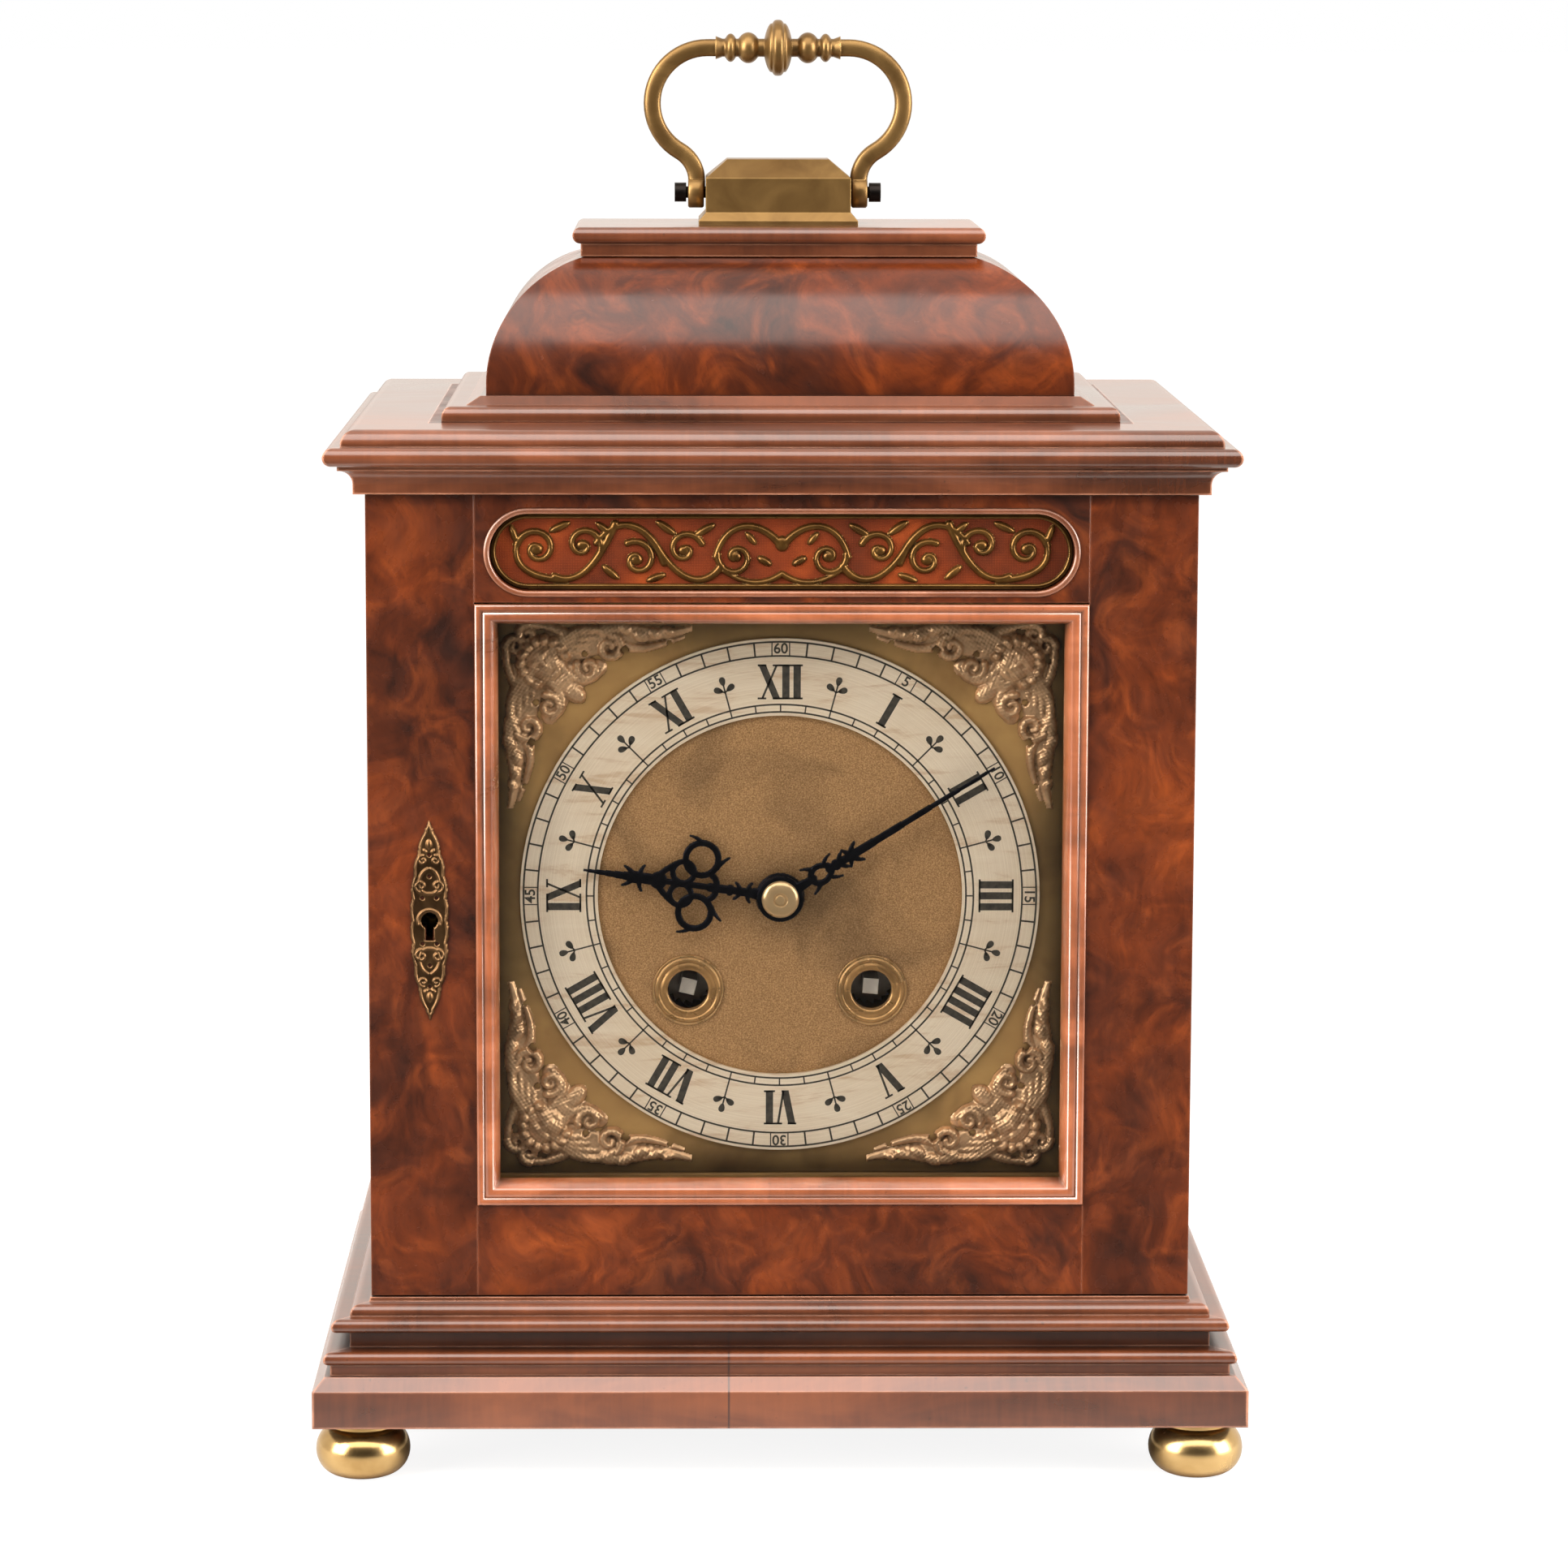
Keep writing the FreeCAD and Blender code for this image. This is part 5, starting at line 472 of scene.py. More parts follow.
romans = ["XII", "I", "II", "III", "IIII", "V", "VI", "VII", "VIII", "IX", "X", "XI"]
for edge, width in (("outer", 0.5), ("track", 0.48), ("innerTrack", 0.46), ("inner", 0.46)):
    circleLine(ring[edge], width)
for k in range(60):
    if k % 5:
        spoke(6 * k, ring["track"], ring["outer"], 0.48)
for k in range(48):
    spoke(7.5 * k, ring["inner"], ring["innerTrack"], 0.38)
for k, letters in enumerate(romans):
    numeral(30 * k, letters)
    trefoil(30 * k + 15)
for k in range(1, 13):
    words = bpy.data.curves.new("minuteFigure", "FONT")
    words.body, words.size, words.align_x = str(5 * k), 3.9 * mm, "CENTER"
    words.offset = 0.07 * mm
    carrier = bpy.data.objects.new("minuteFigure", words)
    bpy.context.collection.objects.link(carrier)
    shape = bpy.data.meshes.new_from_object(carrier.evaluated_get(bpy.context.evaluated_depsgraph_get()))
    first = len(corners)
    for vertex in shape.vertices:
        corners.append(onRing(*polar(30 * k, ring["track"] + 0.75 + vertex.co.y / mm, vertex.co.x / mm)))
    polygons.extend([[first + i for i in face.vertices] for face in shape.polygons])
    for side in (-2.35, 2.35):
        spoke(30 * k, ring["track"], ring["outer"], 0.3, side)
    bpy.data.objects.remove(carrier)
    bpy.data.meshes.remove(shape)


def pieceFrom(name, points, faces, material, body, smooth=False):
    mesh = bpy.data.meshes.new(name)
    mesh.from_pydata(points, [], faces)
    mesh.validate()
    mesh.materials.append(material)
    if smooth:
        mesh.shade_smooth()
    piece = bpy.data.objects.new(name, mesh)
    bpy.context.collection.objects.link(piece)
    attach(piece, body)
    return piece


pieceFrom("numeralEngraving", corners, polygons, wax, "case")
print("numeral ring engraved")

# ---- cast and pierced ornament, worked as relief over a flat ground ----


def stroke(x, z, points, start, end, rise, endRise=None):
    # rounded ridge along a line of points, its half width going from start to end
    height = np.zeros_like(x)
    count = len(points) - 1
    last = rise if endRise is None else endRise
    for i in range(count):
        (ax, az), (bx, bz) = points[i], points[i + 1]
        dx, dz = bx - ax, bz - az
        span = dx * dx + dz * dz + 1e-9
        t = np.clip(((x - ax) * dx + (z - az) * dz) / span, 0, 1)
        away = np.hypot(x - ax - t * dx, z - az - t * dz)
        share = (i + t) / count
        width = start + (end - start) * share
        top = rise + (last - rise) * share
        height = np.maximum(height, top * np.sqrt(np.clip(1 - (away / width) ** 2, 0, 1)))
    return height


def blob(x, z, at, wide, high, rise, turn=0.0):
    a = math.radians(turn)
    u = (x - at[0]) * math.cos(a) + (z - at[1]) * math.sin(a)
    v = -(x - at[0]) * math.sin(a) + (z - at[1]) * math.cos(a)
    return rise * np.sqrt(np.clip(1 - (u / wide) ** 2 - (v / high) ** 2, 0, 1))


def curl(cx, cz, outer, inner, begin, turn, count=26):
    return [(cx + (outer + (inner - outer) * k / count) * math.cos(math.radians(begin + turn * k / count)),
             cz + (outer + (inner - outer) * k / count) * math.sin(math.radians(begin + turn * k / count)))
            for k in range(count + 1)]


def bend(*points, count=18):
    # smooth line through control points
    line, n = [], len(points) - 1
    for k in range(count + 1):
        t = k / count
        line.append(tuple(sum(math.comb(n, i) * (1 - t) ** (n - i) * t ** i * points[i][axis]
                              for i in range(n + 1)) for axis in (0, 1)))
    return line


def relief(name, size, step, height, place, material, body, node):
    wide, high = size
    columns, rows = int(wide[1] / step - wide[0] / step) + 1, int(high[1] / step - high[0] / step) + 1
    x, z = np.meshgrid(np.linspace(wide[0], wide[1], columns), np.linspace(high[0], high[1], rows))
    h = height(x, z)
    points, faces = [], []
    cosine, sine = math.cos(math.radians(place.get("turn", 0))), math.sin(math.radians(place.get("turn", 0)))
    for mirrorX, mirrorZ in place["copies"]:
        index = -np.ones(h.shape, int)
        full = h > 0.03
        cells = full[:-1, :-1] | full[1:, :-1] | full[:-1, 1:] | full[1:, 1:]
        used = np.zeros(h.shape, bool)
        for a in (0, 1):
            for b in (0, 1):
                used[a:rows - 1 + a, b:columns - 1 + b] |= cells
        for r, c in zip(*np.nonzero(used)):
            index[r, c] = len(points)
            aside, along = mirrorX * x[r, c], mirrorZ * z[r, c]
            points.append(((place["x"] + aside * cosine + along * sine) * mm,
                           (place["y"] - max(h[r, c], 0.0)) * mm,
                           (place["z"] - aside * sine + along * cosine) * mm))
        for r, c in zip(*np.nonzero(cells)):
            loop = [index[r, c], index[r, c + 1], index[r + 1, c + 1], index[r + 1, c]]
            faces.append([int(i) for i in (loop if mirrorX * mirrorZ > 0 else loop[::-1])])
    piece = pieceFrom(name, points, faces, material, body, True)
    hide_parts(node)
    return piece


spandrel = {"corner": 76.2, "clear": 71.2, "head": (13.0, 13.0), "step": 0.28}


def spandrelHeight(x, z):
    # u and v run inwards from the corner of the dial; the casting is the same each side of the diagonal
    u, v = spandrel["corner"] - x, spandrel["corner"] - z
    a, b = np.maximum(u, v), np.minimum(u, v)
    h = np.zeros_like(x)
    grow = lambda part: np.maximum(h, part)
    # broad ground of wing, leaf and drapery under the finer work
    h = grow(stroke(a, b, bend((14, 10), (20, 8.4), (30, 6.6)), 5.0, 3.6, 1.3, 1.0))
    h = grow(stroke(a, b, bend((29, 6.0), (36, 4.6), (43, 6.6), (52.2, 3.8)), 3.6, 0.7, 1.2, 0.7))
    h = grow(stroke(a, b, bend((17, 17), (22, 17.4), (27.5, 14.4)), 4.4, 2.2, 1.3, 0.9))
    for k in range(7):
        reach = 29.5 - 2.5 * k
        h = grow(stroke(a, b, bend((15.0, 10.0), (19.5, 4.0 + 1.7 * k), (reach, 4.2 + 1.9 * k)), 2.3, 1.0,
                        2.6 - 0.12 * k, 1.4))
    h = grow(stroke(a, b, bend((16, 8), (22, 2.9), (29, 3.0), (31.4, 6.0)), 1.5, 1.1, 2.1))
    h = grow(stroke(a, b, curl(30.4, 8.8, 3.6, 0.8, -60, 420), 1.3, 1.0, 2.3, 1.9))
    h = grow(stroke(a, b, bend((29, 4.4), (35, 2.4), (42, 6.6), (52.3, 3.5)), 2.1, 0.5, 2.1, 0.8))
    h = grow(stroke(a, b, bend((33, 7.4), (38, 10.8), (43, 8.6), (50.0, 6.2)), 1.6, 0.5, 1.7, 0.6))
    for k, (s, t, w) in enumerate(((34.5, 3.8, 1.9), (38.6, 5.6, 1.9), (42.6, 5.2, 1.6), (46.2, 4.5, 1.2))):
        h = grow(blob(a, b, (s, t), w * 1.5, w, 2.5 - 0.25 * k, 25))
    h = grow(stroke(a, b, curl(24.8, 14.4, 3.2, 0.7, 200, -430), 1.2, 0.9, 2.2, 1.8))
    h = grow(stroke(a, b, bend((17.5, 14), (21, 18.6), (25.6, 19.2), (28.2, 15.0)), 1.6, 0.9, 2.0, 1.4))
    h = grow(stroke(a, b, bend((20.0, 6.0), (15, 2.8), (8.2, 2.8)), 1.5, 1.0, 1.7, 1.2))
    h = grow(stroke(a, b, curl(8.6, 5.4, 2.7, 0.7, -90, -400), 1.2, 0.9, 1.8, 1.5))
    hx, hz = spandrel["head"]
    h = grow(blob(u, v, (20.8, 20.8), 4.0, 2.6, 2.2, 45))
    h = grow(blob(u, v, (18.0, 18.0), 2.6, 4.4, 2.1, 45))
    h = grow(blob(u, v, (hx, hz), 6.3, 5.2, 3.5, 45))
    along, aside = (u - hx + v - hz) / math.sqrt(2), np.abs(u - v) / math.sqrt(2)
    along, aside = along / 1.25, aside / 1.25
    face = np.zeros_like(x)
    face += 0.60 * np.exp(-((along - 0.5) / 1.5) ** 2 - (aside / 0.55) ** 2)
    face += 0.32 * np.exp(-((along - 1.6) / 1.0) ** 2 - ((aside - 1.9) / 1.0) ** 2)
    face -= 0.60 * np.exp(-((along + 0.5) / 0.6) ** 2 - ((aside - 1.35) / 0.75) ** 2)
    face += 0.30 * np.exp(-((along + 1.5) / 0.6) ** 2 - ((aside - 1.4) / 1.1) ** 2)
    face -= 0.45 * np.exp(-((along - 2.75) / 0.32) ** 2 - (aside / 1.0) ** 2)
    face += 0.32 * np.exp(-((along - 3.6) / 0.6) ** 2 - (aside / 0.9) ** 2)
    h = np.where(h > 0.5, h + face, h)
    for k in range(11):
        t = math.radians(180 + 45 + (k - 5) * 23)
        h = grow(blob(u, v, (hx + 6.0 * math.cos(t), hz + 6.0 * math.sin(t)), 1.9, 1.55, 3.3, k * 40))
    chased = 0.22 * np.sin(5.2 * a + 1.5 * b) * np.sin(4.1 * b - 1.1 * a)
    h = np.where(h > 0.5, h + chased * np.clip(h - 0.5, 0, 1), h)
    holes = ((24.5, 2.0, 0.9), (23.8, 10.8, 1.0), (34.6, 9.6, 1.2), (12.6, 4.6, 0.9), (46.5, 7.6, 0.8))
    for s, t, w in holes:
        h = np.where(np.hypot(a - s, b - t) < w, 0.0, h)
    clear = (np.hypot(x, z) > spandrel["clear"]) & (b > 1.2) & (a < 52.6)
    return np.where(clear, h, 0.0)


relief("cornerSpandrelCastings", ((23.6, 74.8), (23.6, 74.8)), spandrel["step"], spandrelHeight,
       {"x": 0.0, "y": dial["face"], "z": dial["centre"], "copies": [(1, 1), (-1, 1), (1, -1), (-1, -1)]},
       castGilt, "case", "corner_spandrels")
print("spandrels cast")

fret = {"half": 76.8, "high": 10.0, "rim": 1.3, "step": 0.2}


def fretHeight(x, z):
    u = np.abs(x)
    straight = fret["half"] - fret["high"]
    away = np.hypot(np.clip(u - straight, 0, None), z)
    rim = np.where((away <= fret["high"]) & (away > fret["high"] - fret["rim"]), 0.55, 0.0)
    bead = (away - fret["high"] + fret["rim"] - 0.4) / 0.4
    h = np.maximum(rim, 0.9 * np.sqrt(np.clip(1 - bead ** 2, 0, 1)))
    lines = [
        (bend((0, 1.2), (6, 9.2), (15, 8.4), (17.5, -1.5)), 1.15, 0.9),
        (curl(12.2, -1.6, 4.9, 0.9, 10, -420), 0.95, 0.7),
        (bend((0, -6.0), (5, -9.4), (10, -8.8), (15.4, -5.2)), 0.9, 0.7),
        (bend((16, -4), (21, -10.8), (28, -7.4), (33, 1.5)), 1.15, 0.95),
        (curl(25.6, 0.4, 4.8, 0.8, 160, -400), 0.95, 0.7),
        (bend((31, -3), (35.5, 8.5), (43.5, 9.6), (49, 2.2)), 1.2, 0.95),
        (curl(38.2, -2.2, 5.0, 0.9, 60, 420), 1.0, 0.7),
        (bend((44, 7.2), (48, -2), (53, -9.8), (60, -6.6)), 1.15, 0.95),
        (curl(52.4, 1.6, 4.9, 0.8, 200, -410), 1.0, 0.7),
        (bend((57, -7.6), (63.5, -7.6), (71, -5.4), (70.0, 1.2)), 1.15, 0.9),
        (curl(64.6, 0.6, 5.4, 0.9, 10, 440), 1.05, 0.7),
    ]
    for points, start, end in lines:
        h = np.maximum(h, stroke(u, z, points, start * 0.86, end * 0.8, 1.0))
    leaves = [((4.6, -2.6), 2.0, 1.1, 30), ((20.4, 5.6), 3.0, 1.1, -30), ((8.2, 3.4), 2.0, 0.9, 50),
              ((30.6, 6.2), 3.0, 1.1, 35), ((33.2, -7.0), 2.6, 1.0, -20), ((45.2, -5.6), 2.7, 1.1, 40),
              ((58.6, 6.4), 2.9, 1.1, -25), ((47.0, 6.0), 2.4, 1.0, 40), ((70.6, 4.4), 2.6, 1.0, 70),
              ((12.4, -1.4), 1.6, 1.6, 0), ((25.8, 0.2), 1.5, 1.5, 0), ((38.4, -2.2), 1.6, 1.6, 0),
              ((52.6, 1.6), 1.5, 1.5, 0), ((64.8, 0.6), 1.7, 1.7, 0), ((0.0, 2.0), 1.7, 2.2, 0)]
    for at, wide, tall, turn in leaves:
        h = np.maximum(h, blob(u, z, at, wide * 1.05, tall * 0.9, 1.1, turn))
    return np.where(away <= fret["high"], h, 0.0)


relief("scrolledSoundFret", ((-77.0, 77.0), (-10.2, 10.2)), fret["step"], fretHeight,
       {"x": 0.0, "y": -76.6, "z": (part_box("sound_fret")[0].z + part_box("sound_fret")[1].z) / 2 / mm,
        "copies": [(1, 1)]}, fretBrass, "front_door", "sound_fret")

scutcheon = {"half": 26.85, "width": 5.2, "step": 0.16}


def scutcheonHeight(x, z):
    t = np.abs(z) / scutcheon["half"]
    lobes = 0.42 * np.abs(np.sin(t * math.pi * 4.5))
    edge = np.clip(1 - t ** 2.4, 0, 1) * (scutcheon["width"] - 0.5) + lobes * (t < 0.93)
    inside = (np.abs(x) < edge) & (t <= 1)
    u = np.abs(x)
    h = np.full_like(x, 0.42)
    h = np.maximum(h, 0.85 * np.exp(-((edge - u - 0.45) / 0.30) ** 2))
    for sign in (-1, 1):
        s = sign * z
        h = np.maximum(h, stroke(u, s, curl(2.2, 9.4, 1.7, 0.4, -90, 400), 0.5, 0.35, 0.95))
        h = np.maximum(h, stroke(u, s, bend((0, 7.4), (3.4, 7.0), (3.6, 12.6), (0.4, 14.2)), 0.5, 0.35, 0.9))
        h = np.maximum(h, stroke(u, s, curl(1.7, 16.4, 1.3, 0.3, 90, -400), 0.45, 0.3, 0.9))
        h = np.maximum(h, blob(u, s, (0, 20.6), 0.9, 1.6, 1.0))
        h = np.maximum(h, blob(u, s, (1.1, 18.9), 0.9, 0.5, 0.9, 40))
    h = np.maximum(h, 0.9 * np.exp(-((np.hypot(x, z) - 3.1) / 0.4) ** 2) * (z > -1))
    hole = (np.hypot(x, z) < 2.3) | ((u < 1.0 + 0.06 * np.abs(z)) & (z < 0) & (z > -5.4))
    pricks = np.zeros_like(x, bool)
    for s, w in ((12.0, 0.0), (17.8, 0.0), (6.2, 1.9)):
        pricks |= np.hypot(u - w, np.abs(z) - s) < 0.55
    return np.where(inside & ~hole & ~pricks, h, 0.0)


relief("piercedEscutcheon", ((-5.6, 5.6), (-26.9, 26.9)), scutcheon["step"], scutcheonHeight,
       {"x": -93.3, "y": doorFace, "z": 150.0, "copies": [(1, 1)]},
       scutcheonBrass, "front_door",
       "keyhole_escutcheon")
print("fret and escutcheon made")

# ---- hands, cut and filed from blued sheet ----


def sheetMetal(parts, rise):
    # joins ridges into one flat sheet with filed, slightly rounded edges
    return rise * np.clip(parts * 3.2, 0, 1)


def ringAt(x, z, at, radius, wire):
    return np.sqrt(np.clip(1 - ((np.hypot(x - at[0], z - at[1]) - radius) / wire) ** 2, 0, 1))


def hourHeight(x, z):
    u = np.abs(x)
    parts = ringAt(x, z, (0, 0), 5.0, 1.5)
    shapes = [bend((0, 5), (0, 12)), bend((0, 11), (0, 19)), bend((0, 18), (0, 36)),
              bend((0, 35.5), (0, 53.0))]
    for line, start, end in zip(shapes, (1.6, 1.0, 0.75, 1.5), (0.9, 1.1, 0.8, 0.28)):
        parts = np.maximum(parts, stroke(u, z, line, start, end, 1.0))
    for at, radius, wire in (((7.3, 22.2), 4.4, 0.78), ((3.1, 26.6), 2.9, 0.68), ((0, 33.0), 1.6, 0.7)):
        parts = np.maximum(parts, ringAt(u, z, at, radius, wire))
    for line, start, end in ((bend((0, 17.4), (2.6, 17.0), (3.6, 19.6)), 0.85, 0.7),
                             (bend((5.6, 17.9), (7.0, 17.0), (8.6, 15.0)), 0.75, 0.25),
                             (bend((11.6, 22.6), (13.0, 24.0), (13.2, 26.2)), 0.6, 0.2),
                             (bend((5.2, 28.6), (3.6, 31.2), (0.6, 33.8)), 0.75, 0.7),
                             (bend((0, 38.0), (1.8, 38.4), (3.4, 37.2)), 0.85, 0.25),
                             (bend((0, 39.6), (1.8, 40.4), (2.6, 42.4)), 0.85, 0.25),
                             (bend((0, 8.6), (1.6, 9.0), (2.6, 8.0)), 0.7, 0.3),
                             (bend((0, 10.8), (1.4, 11.2), (2.2, 12.2)), 0.7, 0.3)):
        parts = np.maximum(parts, stroke(u, z, line, start, end, 1.0))
    parts = np.maximum(parts, blob(u, z, (0, 38.6), 1.7, 2.4, 1.0))
    parts = np.maximum(parts, blob(u, z, (0, 13.6), 1.5, 1.1, 1.0))
    return sheetMetal(np.where(np.hypot(x, z) > 3.2, parts, 0), 0.9)


def minuteHeight(x, z):
    u = np.abs(x)
    parts = ringAt(x, z, (0, 0), 4.7, 1.5)
    shapes = [bend((0, 5), (0, 10.5)), bend((0, 15.5), (0, 23.5)), bend((0, 23), (0, 67.0))]
    for line, start, end in zip(shapes, (1.5, 1.1, 1.15), (0.9, 1.0, 0.30)):
        parts = np.maximum(parts, stroke(u, z, line, start, end, 1.0))
    for line, start, end in ((bend((0, 9.8), (3.0, 10.6), (3.1, 13.8), (0, 16.6)), 0.8, 0.7),
                             (bend((2.2, 11.2), (3.4, 10.2), (3.8, 8.6)), 0.6, 0.2),
                             (bend((2.0, 14.8), (3.2, 16.0), (3.4, 17.6)), 0.55, 0.2),
                             (bend((0, 18.6), (1.5, 19.0), (2.2, 20.4)), 0.8, 0.3),
                             (bend((0, 22.2), (1.6, 22.8), (2.7, 24.8)), 0.9, 0.3),
                             (bend((0, 21.8), (1.6, 21.6), (2.5, 20.8)), 0.8, 0.3)):
        parts = np.maximum(parts, stroke(u, z, line, start, end, 1.0))
    parts = np.maximum(parts, blob(u, z, (0, 22.4), 1.6, 2.0, 1.0))
    parts = np.maximum(parts, blob(u, z, (0, 17.6), 1.5, 1.3, 1.0))
    return sheetMetal(np.where(np.hypot(x, z) > 2.4, parts, 0), 0.9)


hands = {"hour": {"y": -65.95, "turn": 278.0, "box": ((-14, 14), (-7, 54))},
         "minute": {"y": -68.35, "turn": 58.2, "box": ((-7, 7), (-7, 68))}}
handStep = 0.17
relief("piercedHourHand", hands["hour"]["box"], handStep, hourHeight,
       {"x": 0.0, "y": hands["hour"]["y"], "z": dial["centre"], "turn": hands["hour"]["turn"], "copies": [(1, 1)]},
       bluedSteel, "hour_train", "hour_hand")
relief("piercedMinuteHand", hands["minute"]["box"], handStep, minuteHeight,
       {"x": 0.0, "y": hands["minute"]["y"], "z": dial["centre"], "turn": hands["minute"]["turn"], "copies": [(1, 1)]},
       bluedSteel, "minute_train", "minute_hand")
print("hands made")

# ---- turned and bent brass ----


def lathe(profile, origin, axis, count=56):
    # turns (radius, distance) pairs about a line through origin
    points, faces = [], []
    for radius, along in profile:
        for k in range(count):
            c, s = radius * math.cos(2 * math.pi * k / count), radius * math.sin(2 * math.pi * k / count)
            offset = {"Z": (c, s, along), "X": (along, c, s), "Y": (c, -along, s)}[axis]
            points.append(tuple((o + d) * mm for o, d in zip(origin, offset)))
    for i in range(len(profile) - 1):
        for k in range(count):
            n = (k + 1) % count
            faces.append([i * count + k, i * count + n, (i + 1) * count + n, (i + 1) * count + k])
    return points, faces


def sweep(path, section, closed=False):
    # carries a section of (outward, y) pairs along a path of (x, z) points
    points, faces, n, m = [], [], len(path), len(section)
    for i, (x, z) in enumerate(path):
        before, after = path[i - 1 if closed or i else 0], path[(i + 1) % n if closed or i < n - 1 else i]
        dx, dz = after[0] - before[0], after[1] - before[1]
        length = math.hypot(dx, dz)
        for out, y in section:
            points.append(((x + out * dz / length) * mm, y * mm, (z - out * dx / length) * mm))
    for i in range(n if closed else n - 1):
        for k in range(m):
            a, b = i * m + k, i * m + (k + 1) % m
            c, d = ((i + 1) % n) * m + (k + 1) % m, ((i + 1) % n) * m + k
            faces.append([a, b, c, d])
    return points, faces


def gather(*pairs):
    points, faces = [], []
    for morePoints, moreFaces in pairs:
        faces += [[len(points) + i for i in face] for face in moreFaces]
        points += morePoints
    return points, faces


def turnedPiece(name, pair, material, body, slot, *replaced):
    piece = pieceFrom(name, pair[0], pair[1], material, body, True)
    piece.data.set_sharp_from_angle(angle=math.radians(50))
    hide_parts(*replaced)
    return piece


foot = {"radius": 12.65, "height": 15.5, "neck": 9.5, "belly": 6.75, "x": 111.9, "y": 82.4}
footFlat = foot["radius"] - foot["belly"]
belly = [(footFlat + foot["belly"] * math.cos(math.radians(t)) ** 0.9,
          foot["belly"] + foot["belly"] * math.sin(math.radians(t))) for t in range(-81, 82, 9)]
footProfile = [(0.01, 0), (footFlat, 0)] + belly
footProfile += [(footFlat + 1.5, 13.5), (foot["neck"], 13.6), (foot["neck"], foot["height"])]
fourFeet = [lathe(footProfile, (sx * foot["x"], sy * foot["y"], 0), "Z") for sx in (-1, 1) for sy in (-1, 1)]
turnedPiece("turnedBunFeet", gather(*fourFeet), polishedBrass, "case", "polished_brass", "bun_feet")

bow = {"pivot": 339.5, "foot": 22.4, "mid": 19.5, "rise": 24.5, "large": 15.2, "half": 2.35, "deep": 2.5}
grip = {"z": bow["pivot"] + 39.7, "half": 17.2, "steps": 110}
small = (bow["mid"] + bow["large"] * 0.5 - bow["foot"]) / 0.5
smallRise = bow["rise"] - (bow["large"] + small) * math.sin(math.radians(60))


def arc(x, z, radius, angles):
    return [(x + radius * math.cos(math.radians(t)), z + radius * math.sin(math.radians(t))) for t in angles]


path = [(bow["foot"], bow["pivot"] + 1.0)]
path += arc(bow["foot"] + small, bow["pivot"] + smallRise, small, range(180, 119, -6))
path += arc(bow["mid"], bow["pivot"] + bow["rise"], bow["large"], range(-54, 91, 6))
path += [(bow["mid"] - 1.2, grip["z"]), (16.4, grip["z"])]
h, d, c = bow["half"], bow["deep"], 0.75
barSection = [(h, -d + c), (h, d - c), (h - c, d), (-h + c, d),
              (-h, d - c), (-h, -d + c), (-h + c, -d), (h - c, -d)]
rightBar = sweep(path, barSection)
leftBar = sweep([(-x, z) for x, z in reversed(path)], barSection)


def gripRadius(x):
    knob = 7.7 * math.sqrt(max(0.0, 1 - (abs(x) / 3.9) ** 2.3))
    groove = 0.5 * math.exp(-((abs(x) - 1.6) / 0.35) ** 2)
    ball = 4.25 * math.sqrt(max(0.0, 1 - ((abs(x) - 8.2) / 3.3) ** 2))
    collar = 3.9 * math.sqrt(max(0.0, 1 - ((abs(x) - 13.1) / 1.9) ** 2.0))
    flare = 2.3 + 0.9 * max(0.0, (abs(x) - 14.8) / 2.4)
    return max(knob - groove, ball, collar, flare, 2.5)


alongGrip = [-grip["half"] + 2 * grip["half"] * k / grip["steps"] for k in range(grip["steps"] + 1)]
gripProfile = [(0.01, -grip["half"])] + [(gripRadius(x), x) for x in alongGrip] + [(0.01, grip["half"])]
bossProfile = [(1.8, 20.4), (3.9, 20.4), (4.3, 20.8), (4.3, 24.4), (3.9, 24.8), (1.8, 24.8)]
bosses = [lathe([(radius, s * x) for radius, x in bossProfile], (0, 0, bow["pivot"]), "X") for s in (-1, 1)]
turnedPiece("carryingBow", gather(rightBar, leftBar, lathe(gripProfile, (0, 0, grip["z"]), "X"), *bosses),
            agedBrass, "handle", "aged_brass", "carrying_handle")

winding = {"x": 24.7, "z": 127.7}
collarProfile = [(5.5, 0.0), (5.5, 0.5), (5.9, 0.82), (6.9, 0.86), (7.3, 0.45), (7.6, 0.42), (7.9, 0.78),
                 (8.5, 0.82), (8.8, 0.4), (9.05, 0.38), (9.25, 0.66), (9.55, 0.6), (9.7, 0.0)]
collars = [lathe(collarProfile, (s * winding["x"], dial["face"], winding["z"]), "Y", 72) for s in (-1, 1)]
turnedPiece("ringedWindingCollars", gather(*collars), collarBrass, "case", "matted_brass", "winding_collars")
colletProfile = [(5.0, 0.0), (5.0, 0.35), (4.7, 0.75), (4.0, 1.15), (2.6, 1.45), (1.9, 1.5), (1.75, 1.25),
                 (1.35, 1.25), (1.2, 1.7), (0.7, 1.72), (0.01, 1.72)]
turnedPiece("domedCollet", lathe(colletProfile, (0, -69.3, dial["centre"]), "Y", 64), colletBrass,
            "minute_train", "polished_brass", "hand_collet")
print("brass turned")

# ---- moulded frames on the front door ----

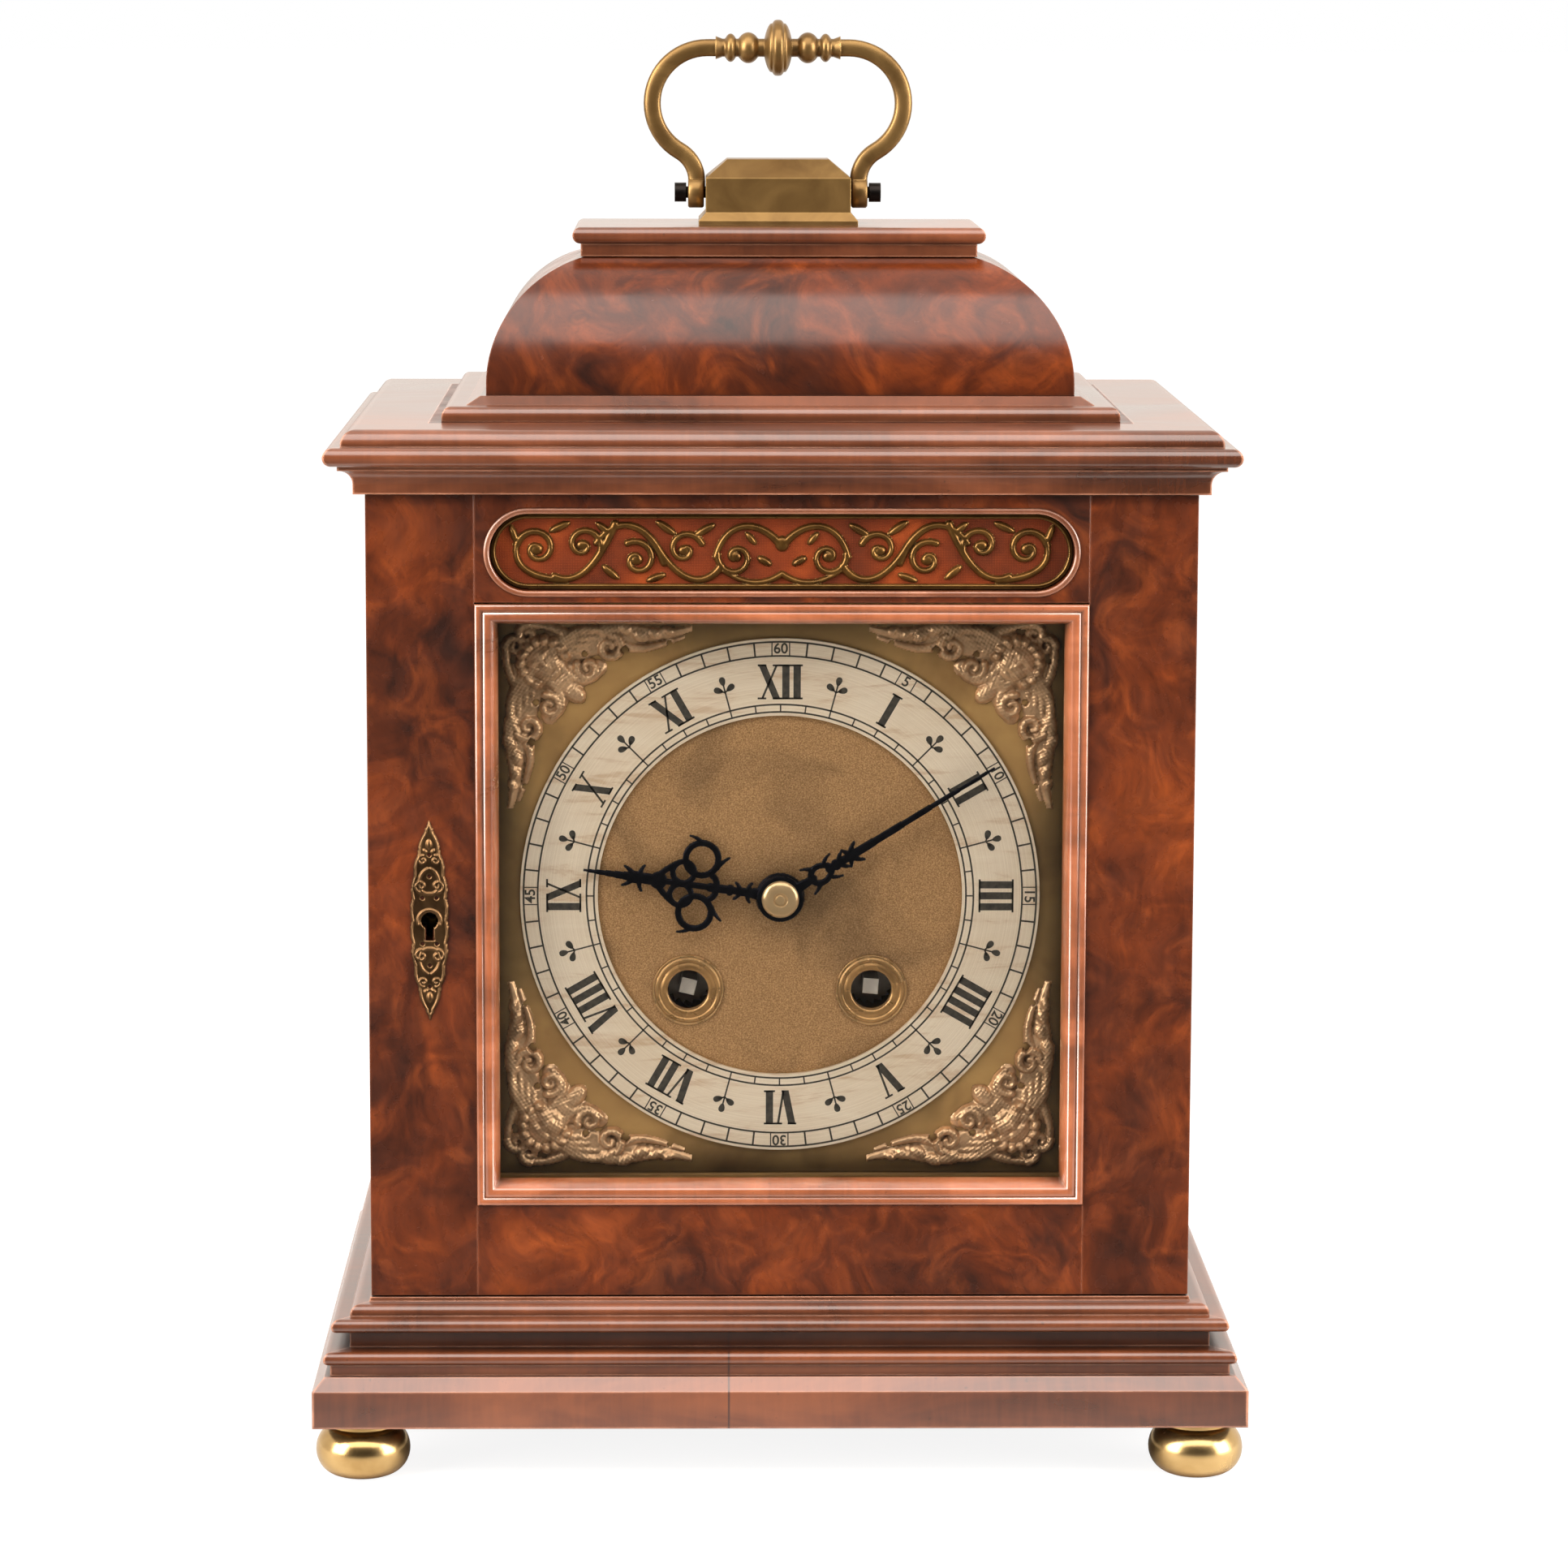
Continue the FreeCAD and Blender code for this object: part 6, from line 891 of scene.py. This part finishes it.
sightHalf = 81.0
sightProfile = [(0.0, 0.3), (0.0, -0.6), (0.35, -1.0), (0.9, -1.15), (1.4, -0.95), (1.75, -0.35),
                (2.05, -0.2), (2.3, -0.5), (2.8, -0.85), (3.4, -0.9), (4.0, -0.6), (4.6, 0.1),
                (5.1, 1.2), (5.5, 2.6), (5.8, 4.2), (6.0, 5.9)]
points, faces = [], []
for inset, y in sightProfile:
    reachOut = sightHalf - inset
    points += [(sx * reachOut * mm, (doorFace + y) * mm, (dial["centre"] + sz * reachOut) * mm)
               for sx, sz in ((-1, -1), (1, -1), (1, 1), (-1, 1))]
for i in range(len(sightProfile) - 1):
    for k in range(4):
        n = (k + 1) % 4
        faces.append([i * 4 + k, i * 4 + n, (i + 1) * 4 + n, (i + 1) * 4 + k])
turnedPiece("mouldedSightFrame", (points, faces), sightWalnut, "front_door", "walnut_moulding",
            "door_sight_moulding")

slotZ = (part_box("sound_fret")[0].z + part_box("sound_fret")[1].z) / 2 / mm
fretSlot = {"straight": 66.8, "radius": 11.0}
stadium = arc(fretSlot["straight"], slotZ, fretSlot["radius"], range(90, -91, -6))
stadium += arc(-fretSlot["straight"], slotZ, fretSlot["radius"], range(270, 89, -6))
beadSection = [(0.8 * math.cos(math.radians(t)), doorFace - 0.6 * math.sin(math.radians(t)))
               for t in range(0, 181, 20)]
beadPair = sweep(stadium, beadSection, True)
pieceFrom("fretSlotBead", beadPair[0], beadPair[1], mouldingWalnut, "front_door", True)
print("frames moulded")

# ---- studio ----

floorMaterial = bpy.data.materials.new("paleFloor")
floorMaterial.use_nodes = True
tree = floorMaterial.node_tree
floorShader = tree.nodes["Principled BSDF"]
# the paper under the clock ends a little way in front of it, so polished fronts mirror a dark floor
rays = add(tree, "LightPath")
paperEdge = add(tree, "SeparateXYZ", {0: add(tree, "NewGeometry").outputs["Position"]}).outputs["Y"]
paper = ramp(tree, sums(tree, "MULTIPLY_ADD", paperEdge, 10.0, 2.1), [(0.0, 0.02), (1.0, 0.6)])
put(tree, floorShader, {"Roughness": 0.9})
seen = rays.outputs["Is Camera Ray"]
bounced = blend(tree, rays.outputs["Is Glossy Ray"], (0.45, 0.45, 0.45, 1), paper)
tree.links.new(blend(tree, seen, bounced, (0.9, 0.9, 0.9, 1)), floorShader.inputs["Base Color"])
glow = add(tree, "Emission", {"Color": (1, 1, 1, 1), "Strength": 1.13}).outputs[0]
glowShare = sums(tree, "MULTIPLY", seen, 0.78)
both = add(tree, "MixShader", {0: glowShare, 1: floorShader.outputs[0], 2: glow}).outputs[0]
tree.links.new(both, tree.nodes["Material Output"].inputs["Surface"])
floorMesh = bpy.data.meshes.new("floor")
reach = 30.0
floorCorners = [(-reach, -reach, 0), (reach, -reach, 0), (reach, reach, 0), (-reach, reach, 0)]
floorMesh.from_pydata(floorCorners, [], [(0, 1, 2, 3)])
floorMesh.materials.append(floorMaterial)
floor = bpy.data.objects.new("floor", floorMesh)
bpy.context.collection.objects.link(floor)

world = bpy.data.worlds.new("studio")
bpy.context.scene.world = world
world.use_nodes = True
tree = world.node_tree
tree.nodes.clear()
path = add(tree, "LightPath")
# the walls beside and behind the clock are bright and the room in front of it is dim
ahead = add(tree, "SeparateXYZ", {0: add(tree, "TexCoord").outputs["Generated"]}).outputs["Y"]
room = ramp(tree, sums(tree, "MULTIPLY_ADD", ahead, 0.5, 0.5),
            [(0.08, 0.02), (0.28, 0.2), (0.5, 0.48), (0.8, 0.60)])
warm = blend(tree, 1.0, room, (1.0, 0.92, 0.84, 1), "MULTIPLY")
lit = add(tree, "Background", {"Color": warm, "Strength": 2.0}).outputs[0]
white = add(tree, "Background", {"Color": (1, 1, 1, 1), "Strength": 1.0}).outputs[0]
mixed = add(tree, "MixShader", {0: path.outputs["Is Camera Ray"], 1: lit, 2: white}).outputs[0]
add(tree, "OutputWorld", {"Surface": mixed})


def softLight(name, place, aim, size, power, tint=(1, 1, 1)):
    lamp = bpy.data.lights.new(name, "AREA")
    lamp.shape, lamp.size, lamp.size_y = "RECTANGLE", size[0], size[1]
    lamp.energy, lamp.color = power, tint
    holder = bpy.data.objects.new(name, lamp)
    bpy.context.collection.objects.link(holder)
    holder.location = place
    holder.rotation_mode = "QUATERNION"
    holder.rotation_quaternion = (Vector(aim) - Vector(place)).to_track_quat("-Z", "Y")
    return holder


softLight("leftBox", (-1.5, -0.9, 0.8), (0, 0, 0.2), (1.0, 1.4), 66, (1, 0.95, 0.89))
softLight("rightBox", (1.5, -0.65, 0.6), (0, 0, 0.2), (0.9, 1.3), 48, (1, 0.95, 0.89))
softLight("skyBox", (0.0, -0.9, 1.7), (0, 0, 0.2), (2.6, 1.5), 50, (1, 0.95, 0.90))
print("studio set")

eye = bpy.data.cameras.new("camera")
eye.sensor_width, eye.lens, eye.shift_x, eye.shift_y = 36.0, 109.932, 0.0207, -0.0999
eye.clip_start, eye.clip_end = 0.05, 100
camera = bpy.data.objects.new("camera", eye)
bpy.context.collection.objects.link(camera)
right = Vector((0.999909, -0.013280, 0.002217))
up = Vector((-0.000445, 0.131973, 0.991253))
forward = Vector((0.013457, 0.991164, -0.131955))
turn = Matrix((right, up, -forward)).transposed().to_4x4()
camera.matrix_world = Matrix.Translation((-0.025, -1.330, 0.395)) @ turn
bpy.context.scene.camera = camera
bpy.context.scene.view_settings.view_transform = "Standard"
